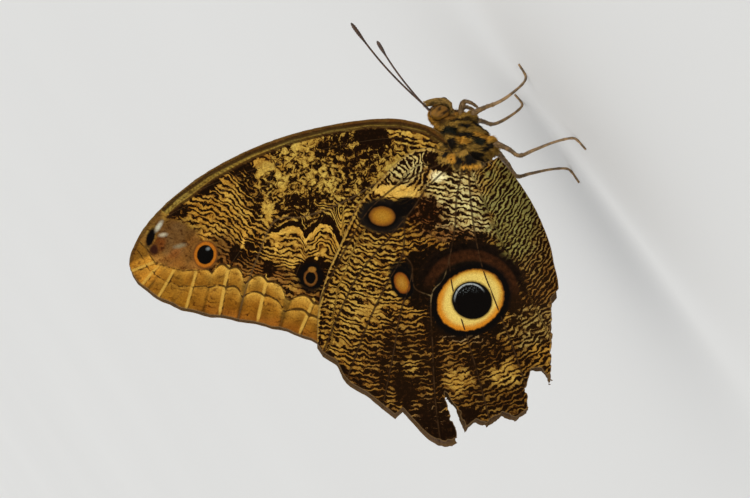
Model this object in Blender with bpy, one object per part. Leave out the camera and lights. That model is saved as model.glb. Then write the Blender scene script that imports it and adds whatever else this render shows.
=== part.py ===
"""Owl butterfly at rest with closed wings, a life-size still model.

Every size below is in millimetres, in the body's own frame: x runs forward along the
body, y to the animal's left, z up through the back, and the middle of the thorax is zero.
The finished model is stood on its feet, with the middle of its footprint at the origin.
"""

import math

import bmesh
import bpy
from mathutils import Vector
from mathutils.geometry import delaunay_2d_cdt

MM = 0.001
GAP = 0.3                 # left between nodes that touch
FLOOR = -17.0             # height of the ground under the thorax

# Wings: a membrane with a ridge along each vein, closed over the back in four layers
MEMBRANE = 0.5
RIDGE_OUT = 0.26          # height of a vein on the face turned outwards
RIDGE_IN = 0.10           # and on the face turned to the next wing
VEIN_WIDTH = 0.62         # half the width of a vein at its foot
FOREWING_LAYER = 0.62     # from the middle plane to the forewing's own middle
HINDWING_LAYER = 1.80
ROOT_FLARE = 1.2          # the wings part towards their roots
FLARE_FOOT = 4.0
FLARE_HEIGHT = 10.0
TIP_SPREAD = 0.9          # and a little towards their rims
BELLY_ROOM = 1.05         # the hindwings pass round the abdomen
BELLY_FOOT = 0.5
BELLY_HEIGHT = 4.5
BELLY_CLOSE = 0.05        # and close again below it, by this much per square of the drop
WING_LENGTH = 73.0
MARGIN_STEP = 1.7
VEIN_STEP = 3.2
FIELD_STEP = 4.6
ROW_SHARE = 0.87          # rows of the field lie closer than its columns
VEIN_CLEAR = 1.6          # the field keeps this far from a vein
RIM_CLEAR = 1.3           # and this far from the rim
MERGE = 0.04              # points of a wing closer than this are one
WELD = 0.001              # and points of a limb

# Body
THORAX_CENTRE = (-0.4, 0.0, -0.2)
THORAX_HALF = (6.7, 3.9, 4.3)
WAIST = 0.20              # how much the thorax narrows behind
NECK = 0.22               # and in front
KEEL = 1.06               # and how much deeper it is below
HEAD_CENTRE = (8.0, 0.0, 0.75)
HEAD_HALF = (2.5, 2.5, 2.25)
EYE_CENTRE = (8.2, 1.65, 0.9)
EYE_HALF = (1.55, 1.35, 2.0)
EYE_TILT = 30.0
ABDOMEN_FRONT = -4.6
ABDOMEN_LENGTH = 27.5
ABDOMEN_RADIUS = 3.0
ABDOMEN_RISE = 4.0        # the tip is carried this much higher than the root
ABDOMEN_RINGS = 7

COLOURS = {
    "wing": (0.34, 0.22, 0.11, 1.0),
    "fur": (0.40, 0.27, 0.15, 1.0),
    "eye": (0.30, 0.13, 0.04, 1.0),
    "horn": (0.20, 0.09, 0.05, 1.0),
}

# Outlines of the right wings seen from outside, as runs of (x, z) that meet in corners
FOREWING_COSTA = [(0.6, 1.8), (3.2, 3.0), (6.9, 4.4), (12.0, 8.4), (15.8, 13.5), (19.6, 21.0),
                  (22.8, 29.1), (25.1, 37.8), (26.3, 47.3), (26.0, 56.6), (24.6, 64.1),
                  (22.0, 69.8), (19.4, 72.7), (16.0, 73.3)]
FOREWING_TERMEN = [(16.0, 73.3), (11.5, 72.0), (7.1, 69.8), (2.2, 66.0), (-3.1, 60.8),
                   (-9.7, 54.9), (-15.4, 51.0), (-18.6, 49.6)]
FOREWING_INNER = [(-18.6, 49.6), (-16.6, 44.0), (-10.5, 29.0), (-5.0, 14.0), (-2.6, 6.0),
                  (-2.2, 1.8)]
HINDWING_FRONT = [(-1.8, 1.4), (-0.4, 4.7), (3.0, 7.2), (4.7, 11.0), (4.5, 15.5), (3.2, 21.5),
                  (1.4, 27.6), (-2.0, 33.2), (-6.4, 40.4), (-11.4, 46.3), (-17.2, 50.8)]
HINDWING_OUTER = [(-17.2, 50.8), (-19.4, 50.9), (-22.6, 49.7), (-25.6, 50.2), (-28.2, 49.9),
                  (-31.5, 48.4), (-35.0, 47.5), (-38.9, 46.4)]
HINDWING_NOTCH = [(-38.9, 46.4), (-38.6, 44.3)]
HINDWING_LOBE = [(-38.6, 44.3), (-42.5, 43.9), (-46.5, 43.3), (-49.6, 41.6), (-50.6, 38.8),
                 (-47.0, 37.6), (-41.0, 35.3)]
HINDWING_TORN = [(-41.0, 35.3), (-45.3, 35.4), (-49.6, 36.5), (-49.5, 33.4), (-51.4, 32.2),
                 (-51.5, 28.3), (-54.0, 26.7), (-53.9, 23.0), (-50.4, 21.3), (-47.4, 17.8),
                 (-48.6, 16.2), (-52.1, 16.1), (-46.8, 12.0), (-41.5, 8.2), (-38.1, 6.0)]
HINDWING_FOLD = [(-38.1, 6.0), (-37.4, 3.6), (-32.5, 1.2), (-27.6, -0.9), (-20.3, -2.7),
                 (-12.7, -3.3), (-7.2, -3.0)]
HINDWING_ROOT = [(-7.2, -3.0), (-6.6, 0.0), (-4.6, 1.4), (-1.8, 1.4)]

SCALLOP = 0.32            # depth of the waves between the vein ends of the forewing
SCALLOPS = 7

# Veins, each from its root to the rim
FOREWING_VEINS = [
    [(2.6, 3.4), (10.2, 9.2), (16.4, 17.6), (20.9, 27.6), (23.7, 37.6), (25.4, 47.0), (26.6, 53.0)],
    [(1.4, 3.0), (8.6, 10.6), (13.2, 18.6), (16.8, 27.2), (19.2, 35.6), (20.7, 44.0),
     (21.0, 53.0), (20.2, 62.0), (17.9, 73.6)],
    [(18.6, 33.0), (22.0, 43.0), (24.4, 53.0), (25.9, 60.6)],
    [(20.8, 46.0), (22.8, 56.0), (23.8, 66.6)],
    [(19.2, 35.6), (16.8, 38.6), (13.2, 41.0), (9.4, 42.6)],
    [(19.2, 35.6), (18.0, 46.0), (16.2, 58.0), (12.8, 73.0)],
    [(16.8, 38.6), (13.8, 50.0), (10.6, 61.0), (6.9, 70.6)],
    [(12.2, 41.4), (8.8, 51.0), (5.2, 60.0), (1.7, 66.4)],
    [(0.2, 2.8), (2.6, 12.5), (3.6, 20.0), (4.4, 28.5), (6.6, 37.0), (9.4, 42.6), (4.8, 50.5),
     (0.6, 56.4), (-3.7, 61.4)],
    [(5.2, 32.0), (0.5, 40.8), (-4.5, 48.4), (-10.3, 55.5)],
    [(-1.0, 2.8), (-2.2, 14.0), (-5.6, 25.0), (-10.2, 36.4), (-14.6, 45.6), (-17.4, 50.8)],
]
HINDWING_VEINS = [
    [(-2.2, 3.6), (0.1, 13.1), (0.5, 18.0), (-0.3, 25.1), (-2.6, 30.6), (-5.9, 37.4), (-11.2, 46.8)],
    [(-2.6, 3.6), (-3.4, 12.0), (-5.6, 18.2), (-7.6, 25.6), (-10.2, 34.8), (-14.2, 42.4),
     (-20.0, 51.6)],
    [(-6.4, 20.6), (-10.4, 23.6), (-12.9, 26.4), (-15.7, 32.3), (-19.4, 38.9), (-23.6, 45.2),
     (-27.4, 50.8)],
    [(-12.0, 25.2), (-15.6, 25.2), (-18.8, 28.6), (-22.2, 33.1), (-28.4, 39.4), (-36.2, 47.8)],
    [(-15.6, 25.2), (-19.4, 27.4), (-22.9, 25.6)],
    [(-3.4, 3.0), (-9.0, 9.0), (-13.2, 12.4), (-17.6, 16.8), (-21.4, 21.4), (-22.9, 25.6),
     (-31.4, 31.5), (-40.7, 37.6), (-49.6, 42.6)],
    [(-18.4, 17.8), (-24.2, 21.1), (-33.7, 24.6), (-41.1, 27.3), (-52.4, 31.8)],
    [(-4.2, 2.6), (-13.9, 8.6), (-23.6, 13.2), (-31.0, 15.4), (-43.4, 18.9), (-54.4, 22.6)],
]

# Right legs, from inside the thorax to the claw, as (x, y, z, radius)
MIDLEG = [(3.4, -1.2, -2.4, 0.62), (3.7, -2.6, -4.5, 0.62), (2.8, -5.4, -6.6, 0.50),
          (1.7, -8.0, -8.3, 0.46), (1.2, -8.8, -10.6, 0.42), (1.2, -9.6, -14.0, 0.34),
          (1.6, -10.2, -16.1, 0.32), (2.6, -10.9, -16.78, 0.30), (4.9, -11.8, -16.78, 0.27)]
HINDLEG = [(-3.4, -1.4, -2.8, 0.64), (-4.6, -2.8, -4.5, 0.62), (-7.4, -5.6, -5.4, 0.52),
           (-10.4, -8.4, -5.9, 0.46), (-11.4, -9.6, -8.6, 0.42), (-12.8, -11.2, -12.8, 0.34),
           (-14.4, -12.4, -16.0, 0.32), (-15.8, -13.0, -16.78, 0.30), (-18.4, -13.8, -16.78, 0.27)]
FORELEG = [(5.0, -1.2, -2.2, 0.50), (6.6, -1.9, -3.6, 0.48), (6.9, -2.1, -4.7, 0.44),
           (5.9, -2.2, -5.6, 0.38), (4.4, -2.0, -6.2, 0.30)]
PALP = [(7.4, -1.0, -1.2, 0.50), (8.5, -1.25, -1.98, 0.54), (9.8, -1.35, -1.45, 0.56),
        (10.8, -1.35, -0.25, 0.52), (11.45, -1.30, 1.0, 0.44), (11.95, -1.25, 2.2, 0.27)]
PALP_STEP = 0.8
ANTENNA_ROOT = (8.9, -0.9, 1.9)
ANTENNA_TIPS = {"right": (31.2, -17.0, 7.2), "left": (32.9, -17.0, -0.8)}
ANTENNA_BOW = (0.5, 0.9, 0.8)
ANTENNA_SHAFT = 0.28
ANTENNA_CLUB = 0.46
ANTENNA_STEPS = 13
CLUB_START = 0.80         # where the feeler thickens, as a share of its length
CLUB_RISE = 0.12
CLUB_END = 0.93           # and where it tapers again
CLUB_TAPER = 0.55

# The tongue, rolled up in a groove of the face between the palps
TONGUE_CENTRE = (9.9, 0.0, -1.6)
TONGUE_TURNS = 1.1
TONGUE_RADIUS = 0.25
TONGUE_PITCH = 0.68
TONGUE_START = 0.45       # radius of the innermost turn, in pitches
TONGUE_PHASE = 1.46       # angle at which the innermost turn begins
TONGUE_STEPS = 18
TONGUE_ROOT = (8.95, 0.0, -0.75)
GROOVE_HALF = (1.9, 0.9, 1.9)


def smoothstep(value):
    value = min(1.0, max(0.0, value))
    return value * value * (3.0 - 2.0 * value)


def material(name):
    found = bpy.data.materials.get(name)
    if found:
        return found
    made = bpy.data.materials.new(name)
    made.use_nodes = True
    shader = made.node_tree.nodes["Principled BSDF"]
    shader.inputs["Base Color"].default_value = COLOURS[name]
    shader.inputs["Roughness"].default_value = 0.15 if name == "eye" else 0.7
    shader.inputs["Metallic"].default_value = 0.0
    return made


def own_collection(name, cutter=False):
    made = bpy.data.collections.new(name)
    bpy.context.scene.collection.children.link(made)
    made.hide_render = cutter
    return made


def add_object(name, mesh, finish, collection):
    made = bpy.data.objects.new(name, mesh)
    collection.objects.link(made)
    mesh.materials.clear()
    mesh.materials.append(material(finish))
    mesh.shade_smooth()
    mesh.set_sharp_from_angle(angle=math.radians(40.0))
    return made


def catmull(before, start, end, after, t):
    """One coordinate pair of a smooth curve through start and end."""
    return tuple(
        0.5 * (2.0 * b + (c - a) * t + (2.0 * a - 5.0 * b + 4.0 * c - d) * t * t
               + (3.0 * b - a - 3.0 * c + d) * t * t * t)
        for a, b, c, d in zip(before, start, end, after))


def smooth_run(points, step):
    """Points about one step apart on a smooth curve through all the given ones."""
    padded = [points[0]] + list(points) + [points[-1]]
    run = [points[0]]
    for index in range(1, len(padded) - 2):
        quad = padded[index - 1:index + 3]
        parts = max(1, round(math.dist(quad[1], quad[2]) / step))
        run += [catmull(*quad, (k + 1) / parts) for k in range(parts)]
    return run


def torn_run(points, step):
    """Points along straight stretches between corners."""
    run = [points[0]]
    for start, end in zip(points, points[1:]):
        parts = max(1, round(math.dist(start, end) / step))
        run += [tuple(s + (e - s) * (k + 1) / parts for s, e in zip(start, end))
                for k in range(parts)]
    return run


def scalloped(run, depth, count):
    """Pull a margin in between the vein ends, in even waves."""
    waved = [run[0]]
    for index in range(1, len(run) - 1):
        along = Vector(run[index + 1]) - Vector(run[index - 1])
        inward = Vector((along.y, -along.x)).normalized()
        wave = abs(math.sin(math.pi * count * index / (len(run) - 1)))
        waved.append(tuple(Vector(run[index]) - inward * depth * (wave - 1.0)))
    return waved + [run[-1]]


def inside(point, loop):
    """True where a point lies within a closed outline."""
    hit = False
    for (x0, z0), (x1, z1) in zip(loop, loop[1:] + loop[:1]):
        if (z0 > point[1]) != (z1 > point[1]):
            if point[0] < x0 + (point[1] - z0) * (x1 - x0) / (z1 - z0):
                hit = not hit
    return hit


def stretch_distance(point, start, end):
    """Distance from a point to a straight stretch, and how far along it the foot is."""
    line = end - start
    share = max(0.0, min(1.0, (point - start).dot(line) / max(line.length_squared, 1e-9)))
    return (point - start - line * share).length, share


def vein_height(point, veins):
    """Height of the nearest vein over the membrane, from 0 to 1, lower towards the rim."""
    best = 0.0
    for vein in veins:
        for index in range(len(vein) - 1):
            away, share = stretch_distance(point, vein[index], vein[index + 1])
            if away < VEIN_WIDTH:
                run = (index + share) / (len(vein) - 1)
                best = max(best, (1.0 - away / VEIN_WIDTH) * (1.0 - 0.35 * run))
    return best


def abdomen_height(x):
    """Height of the abdomen's axis."""
    back = max(0.0, (ABDOMEN_FRONT - x) / ABDOMEN_LENGTH)
    return ABDOMEN_RISE * back ** 1.3 - 0.2


def wing_surface(x, z, layer):
    """Distance of a wing's middle surface from the middle plane."""
    flare = ROOT_FLARE * (1.0 - smoothstep((z - FLARE_FOOT) / FLARE_HEIGHT))
    spread = TIP_SPREAD * (math.hypot(x, z) / WING_LENGTH) ** 2
    away = layer + flare + spread
    if layer == HINDWING_LAYER:
        up = z - abdomen_height(x)
        away += BELLY_ROOM * (1.0 - smoothstep((up - BELLY_FOOT) / BELLY_HEIGHT))
        if up < 0.0:
            away -= BELLY_CLOSE * up * up
    return away


def wing_sheet(outline, veins):
    """Triangulate a wing with its veins' crests and feet as edges."""
    points = [Vector(p) for p in outline]
    edges = [(k, (k + 1) % len(points)) for k in range(len(points))]
    for vein in veins:
        sides = []
        for index, here in enumerate(vein):
            ahead = vein[min(index + 1, len(vein) - 1)] - vein[max(index - 1, 0)]
            sides.append(Vector((-ahead.y, ahead.x)).normalized() * VEIN_WIDTH)
        for offset in (-1.0, 0.0, 1.0):
            first = len(points)
            points += [here + side * offset for here, side in zip(vein, sides)]
            edges += [(k, k + 1) for k in range(first, len(points) - 1)]
    rim = points[:len(outline)]
    low = Vector((min(p.x for p in rim), min(p.y for p in rim)))
    high = Vector((max(p.x for p in rim), max(p.y for p in rim)))
    rise = FIELD_STEP * ROW_SHARE
    rows = int((high.y - low.y) / rise) + 1
    columns = int((high.x - low.x) / FIELD_STEP) + 1
    for row in range(rows):
        for column in range(columns):
            spot = low + Vector(((column + 0.5 * (row % 2)) * FIELD_STEP, row * rise))
            clear = min(stretch_distance(spot, a, b)[0] for v in veins for a, b in zip(v, v[1:]))
            edge = min((spot - p).length for p in rim)
            if clear > VEIN_CLEAR and edge > RIM_CLEAR and inside(spot, outline):
                points.append(spot)
    flat, _, faces, _, _, _ = delaunay_2d_cdt(points, edges, [], 0, MERGE)
    kept = []
    for face in faces:
        middle = sum((flat[k] for k in face), Vector((0.0, 0.0))) / 3.0
        if inside(middle, outline):
            kept.append(face)
    return flat, kept


def wing(name, outline, vein_points, layer, side, parts):
    """A wing as one closed solid, its two faces split alike."""
    veins = [[Vector(p) for p in smooth_run(v, VEIN_STEP)] for v in vein_points]
    flat, faces = wing_sheet(outline, veins)
    sheet = bmesh.new()
    outer = {}
    inner = {}
    for index in sorted({k for face in faces for k in face}):
        x, z = flat[index]
        away = wing_surface(x, z, layer)
        slope_x = (wing_surface(x + 0.1, z, layer) - away) / 0.1
        slope_z = (wing_surface(x, z + 0.1, layer) - away) / 0.1
        normal = Vector((-slope_x, 1.0, -slope_z)).normalized()
        raised = vein_height(flat[index], veins)
        middle = Vector((x, away, z))
        out_point = middle + normal * (MEMBRANE / 2.0 + RIDGE_OUT * raised)
        in_point = middle - normal * (MEMBRANE / 2.0 + RIDGE_IN * raised)
        turn = Vector((MM, side * MM, MM))
        outer[index] = sheet.verts.new(out_point * turn)
        inner[index] = sheet.verts.new(in_point * turn)
    counts = {}
    for face in faces:
        sheet.faces.new([outer[k] for k in face])
        sheet.faces.new([inner[k] for k in reversed(face)])
        for edge in zip(face, face[1:] + face[:1]):
            counts[edge] = counts.get(edge, 0) + 1
    for start, end in counts:
        if (end, start) not in counts:
            sheet.faces.new([outer[end], outer[start], inner[start]])
            sheet.faces.new([outer[end], inner[start], inner[end]])
    bmesh.ops.recalc_face_normals(sheet, faces=sheet.faces)
    mesh = bpy.data.meshes.new(name)
    sheet.to_mesh(mesh)
    sheet.free()
    return add_object(name, mesh, "wing", parts)


def ball(name, centre, half, segments, rings, finish, collection, shape=None):
    """A round body part, its surface shaped by a function of the unit sphere."""
    form = bmesh.new()
    bmesh.ops.create_uvsphere(form, u_segments=segments, v_segments=rings, radius=1.0)
    for vertex in form.verts:
        unit = vertex.co.copy()
        scale = shape(unit) if shape else Vector((1.0, 1.0, 1.0))
        vertex.co = (Vector(centre) + unit * scale * Vector(half)) * MM
    bmesh.ops.recalc_face_normals(form, faces=form.faces)
    mesh = bpy.data.meshes.new(name)
    form.to_mesh(mesh)
    form.free()
    return add_object(name, mesh, finish, collection)


def thorax_shape(unit):
    """Deeper behind the middle, narrower at the neck and at the waist."""
    waist = 1.0 - WAIST * max(0.0, -unit.x) ** 3
    neck = 1.0 - NECK * max(0.0, unit.x) ** 2
    deep = KEEL if unit.z < 0.0 else 1.0
    return Vector((1.0, waist * neck, waist * neck * deep))


def turned_abdomen(parts):
    """Rings that swell between the joints, turned on a lathe and lifted towards the tip."""
    profile = bmesh.new()
    steps = ABDOMEN_RINGS * 4
    last = None
    for index in range(steps + 1):
        share = index / steps
        radius = ABDOMEN_RADIUS * min(1.0, 0.80 + 0.9 * share) * (1.0 - share ** 3.2) ** 0.62
        ring = 1.0 - 0.035 * (0.5 + 0.5 * math.cos(2.0 * math.pi * share * ABDOMEN_RINGS))
        height = 0.0 if index in (0, steps) else radius * ring
        here = profile.verts.new((-share * ABDOMEN_LENGTH * MM, 0.0, height * MM))
        if last:
            profile.edges.new((last, here))
        last = here
    bmesh.ops.spin(profile, geom=profile.verts[:] + profile.edges[:], cent=(0.0, 0.0, 0.0),
                   axis=(1.0, 0.0, 0.0), angle=2.0 * math.pi, steps=22, use_merge=True)
    bmesh.ops.remove_doubles(profile, verts=profile.verts, dist=0.00001)
    for vertex in profile.verts:
        vertex.co.x += ABDOMEN_FRONT * MM
        vertex.co.z += abdomen_height(vertex.co.x / MM) * MM
    bmesh.ops.recalc_face_normals(profile, faces=profile.faces)
    mesh = bpy.data.meshes.new("abdomen")
    profile.to_mesh(mesh)
    profile.free()
    return add_object("abdomen", mesh, "fur", parts)


def tube(name, route, side, finish, parts, resolution=2):
    """A limb or feeler: a curve of varying thickness, made a mesh with welded caps."""
    curve = bpy.data.curves.new(name, "CURVE")
    curve.dimensions = "3D"
    curve.bevel_depth = MM
    curve.bevel_resolution = resolution
    curve.use_fill_caps = True
    spline = curve.splines.new("POLY")
    spline.points.add(len(route) - 1)
    for point, (x, y, z, radius) in zip(spline.points, route):
        point.co = (x * MM, -side * y * MM, z * MM, 1.0)
        point.radius = radius
    made = bpy.data.objects.new(name + "_curve", curve)
    bpy.context.scene.collection.objects.link(made)
    graph = bpy.context.evaluated_depsgraph_get()
    mesh = bpy.data.meshes.new_from_object(made.evaluated_get(graph))
    bpy.data.objects.remove(made)
    bpy.data.curves.remove(curve)
    form = bmesh.new()
    form.from_mesh(mesh)
    bmesh.ops.remove_doubles(form, verts=form.verts, dist=WELD * MM)
    bmesh.ops.recalc_face_normals(form, faces=form.faces)
    form.to_mesh(mesh)
    form.free()
    return add_object(name, mesh, finish, parts)


def antenna(name, side, parts):
    """A thin shaft that swings outwards and ends in a slim club."""
    root = Vector(ANTENNA_ROOT)
    goal = Vector(ANTENNA_TIPS["right" if side < 0.0 else "left"])
    route = []
    for index in range(ANTENNA_STEPS + 1):
        share = index / ANTENNA_STEPS
        spot = root.lerp(goal, share) + Vector(ANTENNA_BOW) * math.sin(math.pi * share)
        taper = CLUB_TAPER * smoothstep((share - CLUB_END) / (1.0 - CLUB_END))
        club = smoothstep((share - CLUB_START) / CLUB_RISE) * (1.0 - taper)
        route.append((*spot, ANTENNA_SHAFT + (ANTENNA_CLUB - ANTENNA_SHAFT) * club))
    return tube(name, route, side, "horn", parts)


def coiled_tongue(parts):
    """The tongue rolled up between the palps."""
    route = []
    for index in range(TONGUE_STEPS + 1):
        turns = TONGUE_TURNS * index / TONGUE_STEPS
        angle = TONGUE_PHASE + 2.0 * math.pi * turns
        radius = TONGUE_PITCH * (TONGUE_START + turns)
        route.append((TONGUE_CENTRE[0] + radius * math.cos(angle), 0.0,
                      TONGUE_CENTRE[2] + radius * math.sin(angle), TONGUE_RADIUS))
    route.append((*TONGUE_ROOT, TONGUE_RADIUS))
    return tube("proboscis", route, -1.0, "horn", parts, resolution=1)


def hidden(made):
    """Show a cutting form as wires and leave it out of renders."""
    made.display_type = "WIRE"
    made.hide_render = True
    return made


def inflated(source, cutters):
    """A copy of a round part, larger by the gap, that neighbours are cut with."""
    mesh = source.data.copy()
    form = bmesh.new()
    form.from_mesh(mesh)
    bmesh.ops.recalc_face_normals(form, faces=form.faces)
    form.normal_update()
    moves = [(vertex, vertex.normal * GAP * MM) for vertex in form.verts]
    for vertex, move in moves:
        vertex.co += move
    form.to_mesh(mesh)
    form.free()
    made = bpy.data.objects.new(source.name + "_clearance", mesh)
    cutters.objects.link(made)
    return hidden(made)


def keep_largest(made):
    """Drop the loose scraps that a cut leaves."""
    form = bmesh.new()
    form.from_mesh(made.data)
    bmesh.ops.remove_doubles(form, verts=form.verts, dist=WELD * MM / 2.0)
    left = set(form.verts)
    shells = []
    while left:
        stack = [left.pop()]
        shell = list(stack)
        while stack:
            for edge in stack.pop().link_edges:
                for vertex in edge.verts:
                    if vertex in left:
                        left.remove(vertex)
                        stack.append(vertex)
                        shell.append(vertex)
        shells.append(shell)
    shells.sort(key=len)
    loose = [vertex for shell in shells[:-1] for vertex in shell]
    bmesh.ops.delete(form, geom=loose, context="VERTS")
    form.to_mesh(made.data)
    form.free()


def cut(made, tool):
    """Take a neighbour's clearance out of a part and apply the result."""
    boolean = made.modifiers.new("clearance", "BOOLEAN")
    boolean.operation = "DIFFERENCE"
    boolean.solver = "EXACT"
    boolean.object = tool
    graph = bpy.context.evaluated_depsgraph_get()
    mesh = bpy.data.meshes.new_from_object(made.evaluated_get(graph))
    made.modifiers.remove(boolean)
    made.data = mesh
    keep_largest(made)


def flat_foot(made):
    """Cut the tarsus flat where it rests on the ground."""
    form = bmesh.new()
    form.from_mesh(made.data)
    ground = Vector((0.0, 0.0, FLOOR * MM))
    bmesh.ops.bisect_plane(form, geom=form.verts[:] + form.edges[:] + form.faces[:],
                           plane_co=ground, plane_no=(0.0, 0.0, -1.0), clear_outer=True,
                           dist=0.0000001)
    rim = [edge for edge in form.edges if edge.is_boundary]
    bmesh.ops.holes_fill(form, edges=rim, sides=0)
    bmesh.ops.recalc_face_normals(form, faces=form.faces)
    form.to_mesh(made.data)
    form.free()


def stand_at_origin(parts):
    """Put the ground at zero and the middle of the whole animal over the origin."""
    corners = [vertex.co for made in parts.objects for vertex in made.data.vertices]
    middle_x = (min(c.x for c in corners) + max(c.x for c in corners)) / 2.0
    middle_y = (min(c.y for c in corners) + max(c.y for c in corners)) / 2.0
    move = Vector((-middle_x, -middle_y, -FLOOR * MM))
    for made in parts.objects:
        for vertex in made.data.vertices:
            vertex.co += move
        made.data.update()


def main():
    for old in list(bpy.data.objects):
        bpy.data.objects.remove(old)
    parts = own_collection("owl_butterfly")
    cutters = own_collection("cutters", cutter=True)

    thorax = ball("thorax", THORAX_CENTRE, THORAX_HALF, 30, 20, "fur", parts, thorax_shape)
    head = ball("head", HEAD_CENTRE, HEAD_HALF, 26, 18, "fur", parts)
    around_thorax = inflated(thorax, cutters)
    cut(head, around_thorax)
    abdomen = turned_abdomen(parts)
    around_abdomen = inflated(abdomen, cutters)
    cut(abdomen, around_thorax)
    head_form = hidden(ball("head_form", HEAD_CENTRE, HEAD_HALF, 26, 18, "fur", cutters))
    around_head = inflated(head_form, cutters)
    cut(head, hidden(ball("groove", TONGUE_CENTRE, GROOVE_HALF, 24, 16, "fur", cutters)))
    coiled_tongue(parts)

    fore_outline = (smooth_run(FOREWING_COSTA, MARGIN_STEP)[:-1]
                    + scalloped(smooth_run(FOREWING_TERMEN, MARGIN_STEP), SCALLOP, SCALLOPS)[:-1]
                    + smooth_run(FOREWING_INNER, MARGIN_STEP)[:-1] + [FOREWING_INNER[-1]])
    hind_outline = (smooth_run(HINDWING_FRONT, MARGIN_STEP)[:-1]
                    + smooth_run(HINDWING_OUTER, MARGIN_STEP)[:-1]
                    + smooth_run(HINDWING_NOTCH, MARGIN_STEP)[:-1]
                    + smooth_run(HINDWING_LOBE, MARGIN_STEP)[:-1]
                    + torn_run(HINDWING_TORN, MARGIN_STEP)[:-1]
                    + smooth_run(HINDWING_FOLD, MARGIN_STEP)[:-1]
                    + smooth_run(HINDWING_ROOT, MARGIN_STEP)[:-1])

    for side, word in ((-1.0, "right"), (1.0, "left")):
        eye = ball("eye_" + word, (EYE_CENTRE[0], side * EYE_CENTRE[1], EYE_CENTRE[2]), EYE_HALF,
                   22, 14, "eye", parts)
        tilt = math.radians(EYE_TILT)
        for vertex in eye.data.vertices:
            x = vertex.co.x - EYE_CENTRE[0] * MM
            z = vertex.co.z - EYE_CENTRE[2] * MM
            vertex.co.x = EYE_CENTRE[0] * MM + x * math.cos(tilt) + z * math.sin(tilt)
            vertex.co.z = EYE_CENTRE[2] * MM - x * math.sin(tilt) + z * math.cos(tilt)
        around_eye = inflated(eye, cutters)
        cut(head, around_eye)
        palp = tube("palp_" + word, smooth_run(PALP, PALP_STEP), side, "fur", parts)
        cut(palp, around_head)
        feeler = antenna("antenna_" + word, side, parts)
        cut(feeler, around_head)
        for label, route, step in (("foreleg_", FORELEG, 1.0), ("midleg_", MIDLEG, 1.6),
                                   ("hindleg_", HINDLEG, 1.8)):
            leg = tube(label + word, smooth_run(route, step), side, "horn", parts)
            cut(leg, around_thorax)
            if label != "foreleg_":
                flat_foot(leg)
        forewing = wing("forewing_" + word, fore_outline, FOREWING_VEINS, FOREWING_LAYER, side, parts)
        cut(forewing, around_thorax)
        hindwing = wing("hindwing_" + word, hind_outline, HINDWING_VEINS, HINDWING_LAYER, side, parts)
        cut(hindwing, around_thorax)
        cut(hindwing, around_abdomen)

    stand_at_origin(parts)


main()
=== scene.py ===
"""Owl butterfly at rest: the scaled wings, the furred body, its eyes, feelers and legs.

Lengths below are in millimetres. Markings are placed on the picture plane, as the animal is
seen from its right: the first number runs to the right and the second down, from the middle
of the thorax, with the body's own axis tilted by BODY_TILT.
"""

import math

import bpy
import numpy as np
from mathutils import Matrix, Vector
from mathutils.geometry import delaunay_2d_cdt


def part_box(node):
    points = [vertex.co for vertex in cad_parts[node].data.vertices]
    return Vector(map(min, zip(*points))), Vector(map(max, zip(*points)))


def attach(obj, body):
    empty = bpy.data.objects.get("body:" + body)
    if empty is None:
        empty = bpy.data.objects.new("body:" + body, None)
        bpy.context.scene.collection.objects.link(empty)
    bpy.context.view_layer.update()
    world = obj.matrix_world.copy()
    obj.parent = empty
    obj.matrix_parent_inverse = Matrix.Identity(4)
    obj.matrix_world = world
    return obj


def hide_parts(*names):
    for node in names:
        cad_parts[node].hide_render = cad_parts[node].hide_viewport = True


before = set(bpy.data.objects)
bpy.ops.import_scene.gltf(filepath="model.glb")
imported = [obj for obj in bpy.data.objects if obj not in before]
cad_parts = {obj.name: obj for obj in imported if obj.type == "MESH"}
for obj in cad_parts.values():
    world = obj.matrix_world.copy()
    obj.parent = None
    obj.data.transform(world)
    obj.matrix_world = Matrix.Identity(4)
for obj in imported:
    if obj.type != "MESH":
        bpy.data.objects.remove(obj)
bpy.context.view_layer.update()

bl_info = {
    "name": "Owl butterfly finish",
    "version": (1, 0, 0),
    "blender": (4, 5, 0),
    "location": "3D View > Sidebar > Butterfly",
    "description": "Dresses the solid model of an owl butterfly with its scales, fur and markings",
    "category": "Object",
}

MM = 0.001
SIDES = (("right", -1.0), ("left", 1.0))
SMOOTH_ANGLE = math.radians(50.0)

# The view: which way the camera looks, and how the body's axis is tilted in the picture
VIEW_TURN = math.radians(-11.0)
VIEW_RISE = math.radians(8.0)
BODY_TILT = math.radians(35.0)
PICTURE_WIDTH = 157.5
PICTURE_CENTRE = (-19.1, 22.3)
CAMERA_DISTANCE = 900.0
SENSOR = 36.0

TOWARDS = Vector((math.sin(VIEW_TURN) * math.cos(VIEW_RISE),
                  -math.cos(VIEW_TURN) * math.cos(VIEW_RISE), math.sin(VIEW_RISE)))
AHEAD = Vector((math.cos(VIEW_TURN), math.sin(VIEW_TURN), 0.0))
OVER = TOWARDS.cross(AHEAD)
RIGHT = -AHEAD * math.sin(BODY_TILT) - OVER * math.cos(BODY_TILT)
DOWN = -AHEAD * math.cos(BODY_TILT) + OVER * math.sin(BODY_TILT)

# The middle of the thorax, from the solid's own box
THORAX_HEIGHT = 17.0
THORAX_AHEAD = 0.4
low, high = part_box("thorax")
THORAX = Vector(((low.x + high.x) / 2.0 + THORAX_AHEAD * MM, 0.0, THORAX_HEIGHT * MM))

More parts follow.
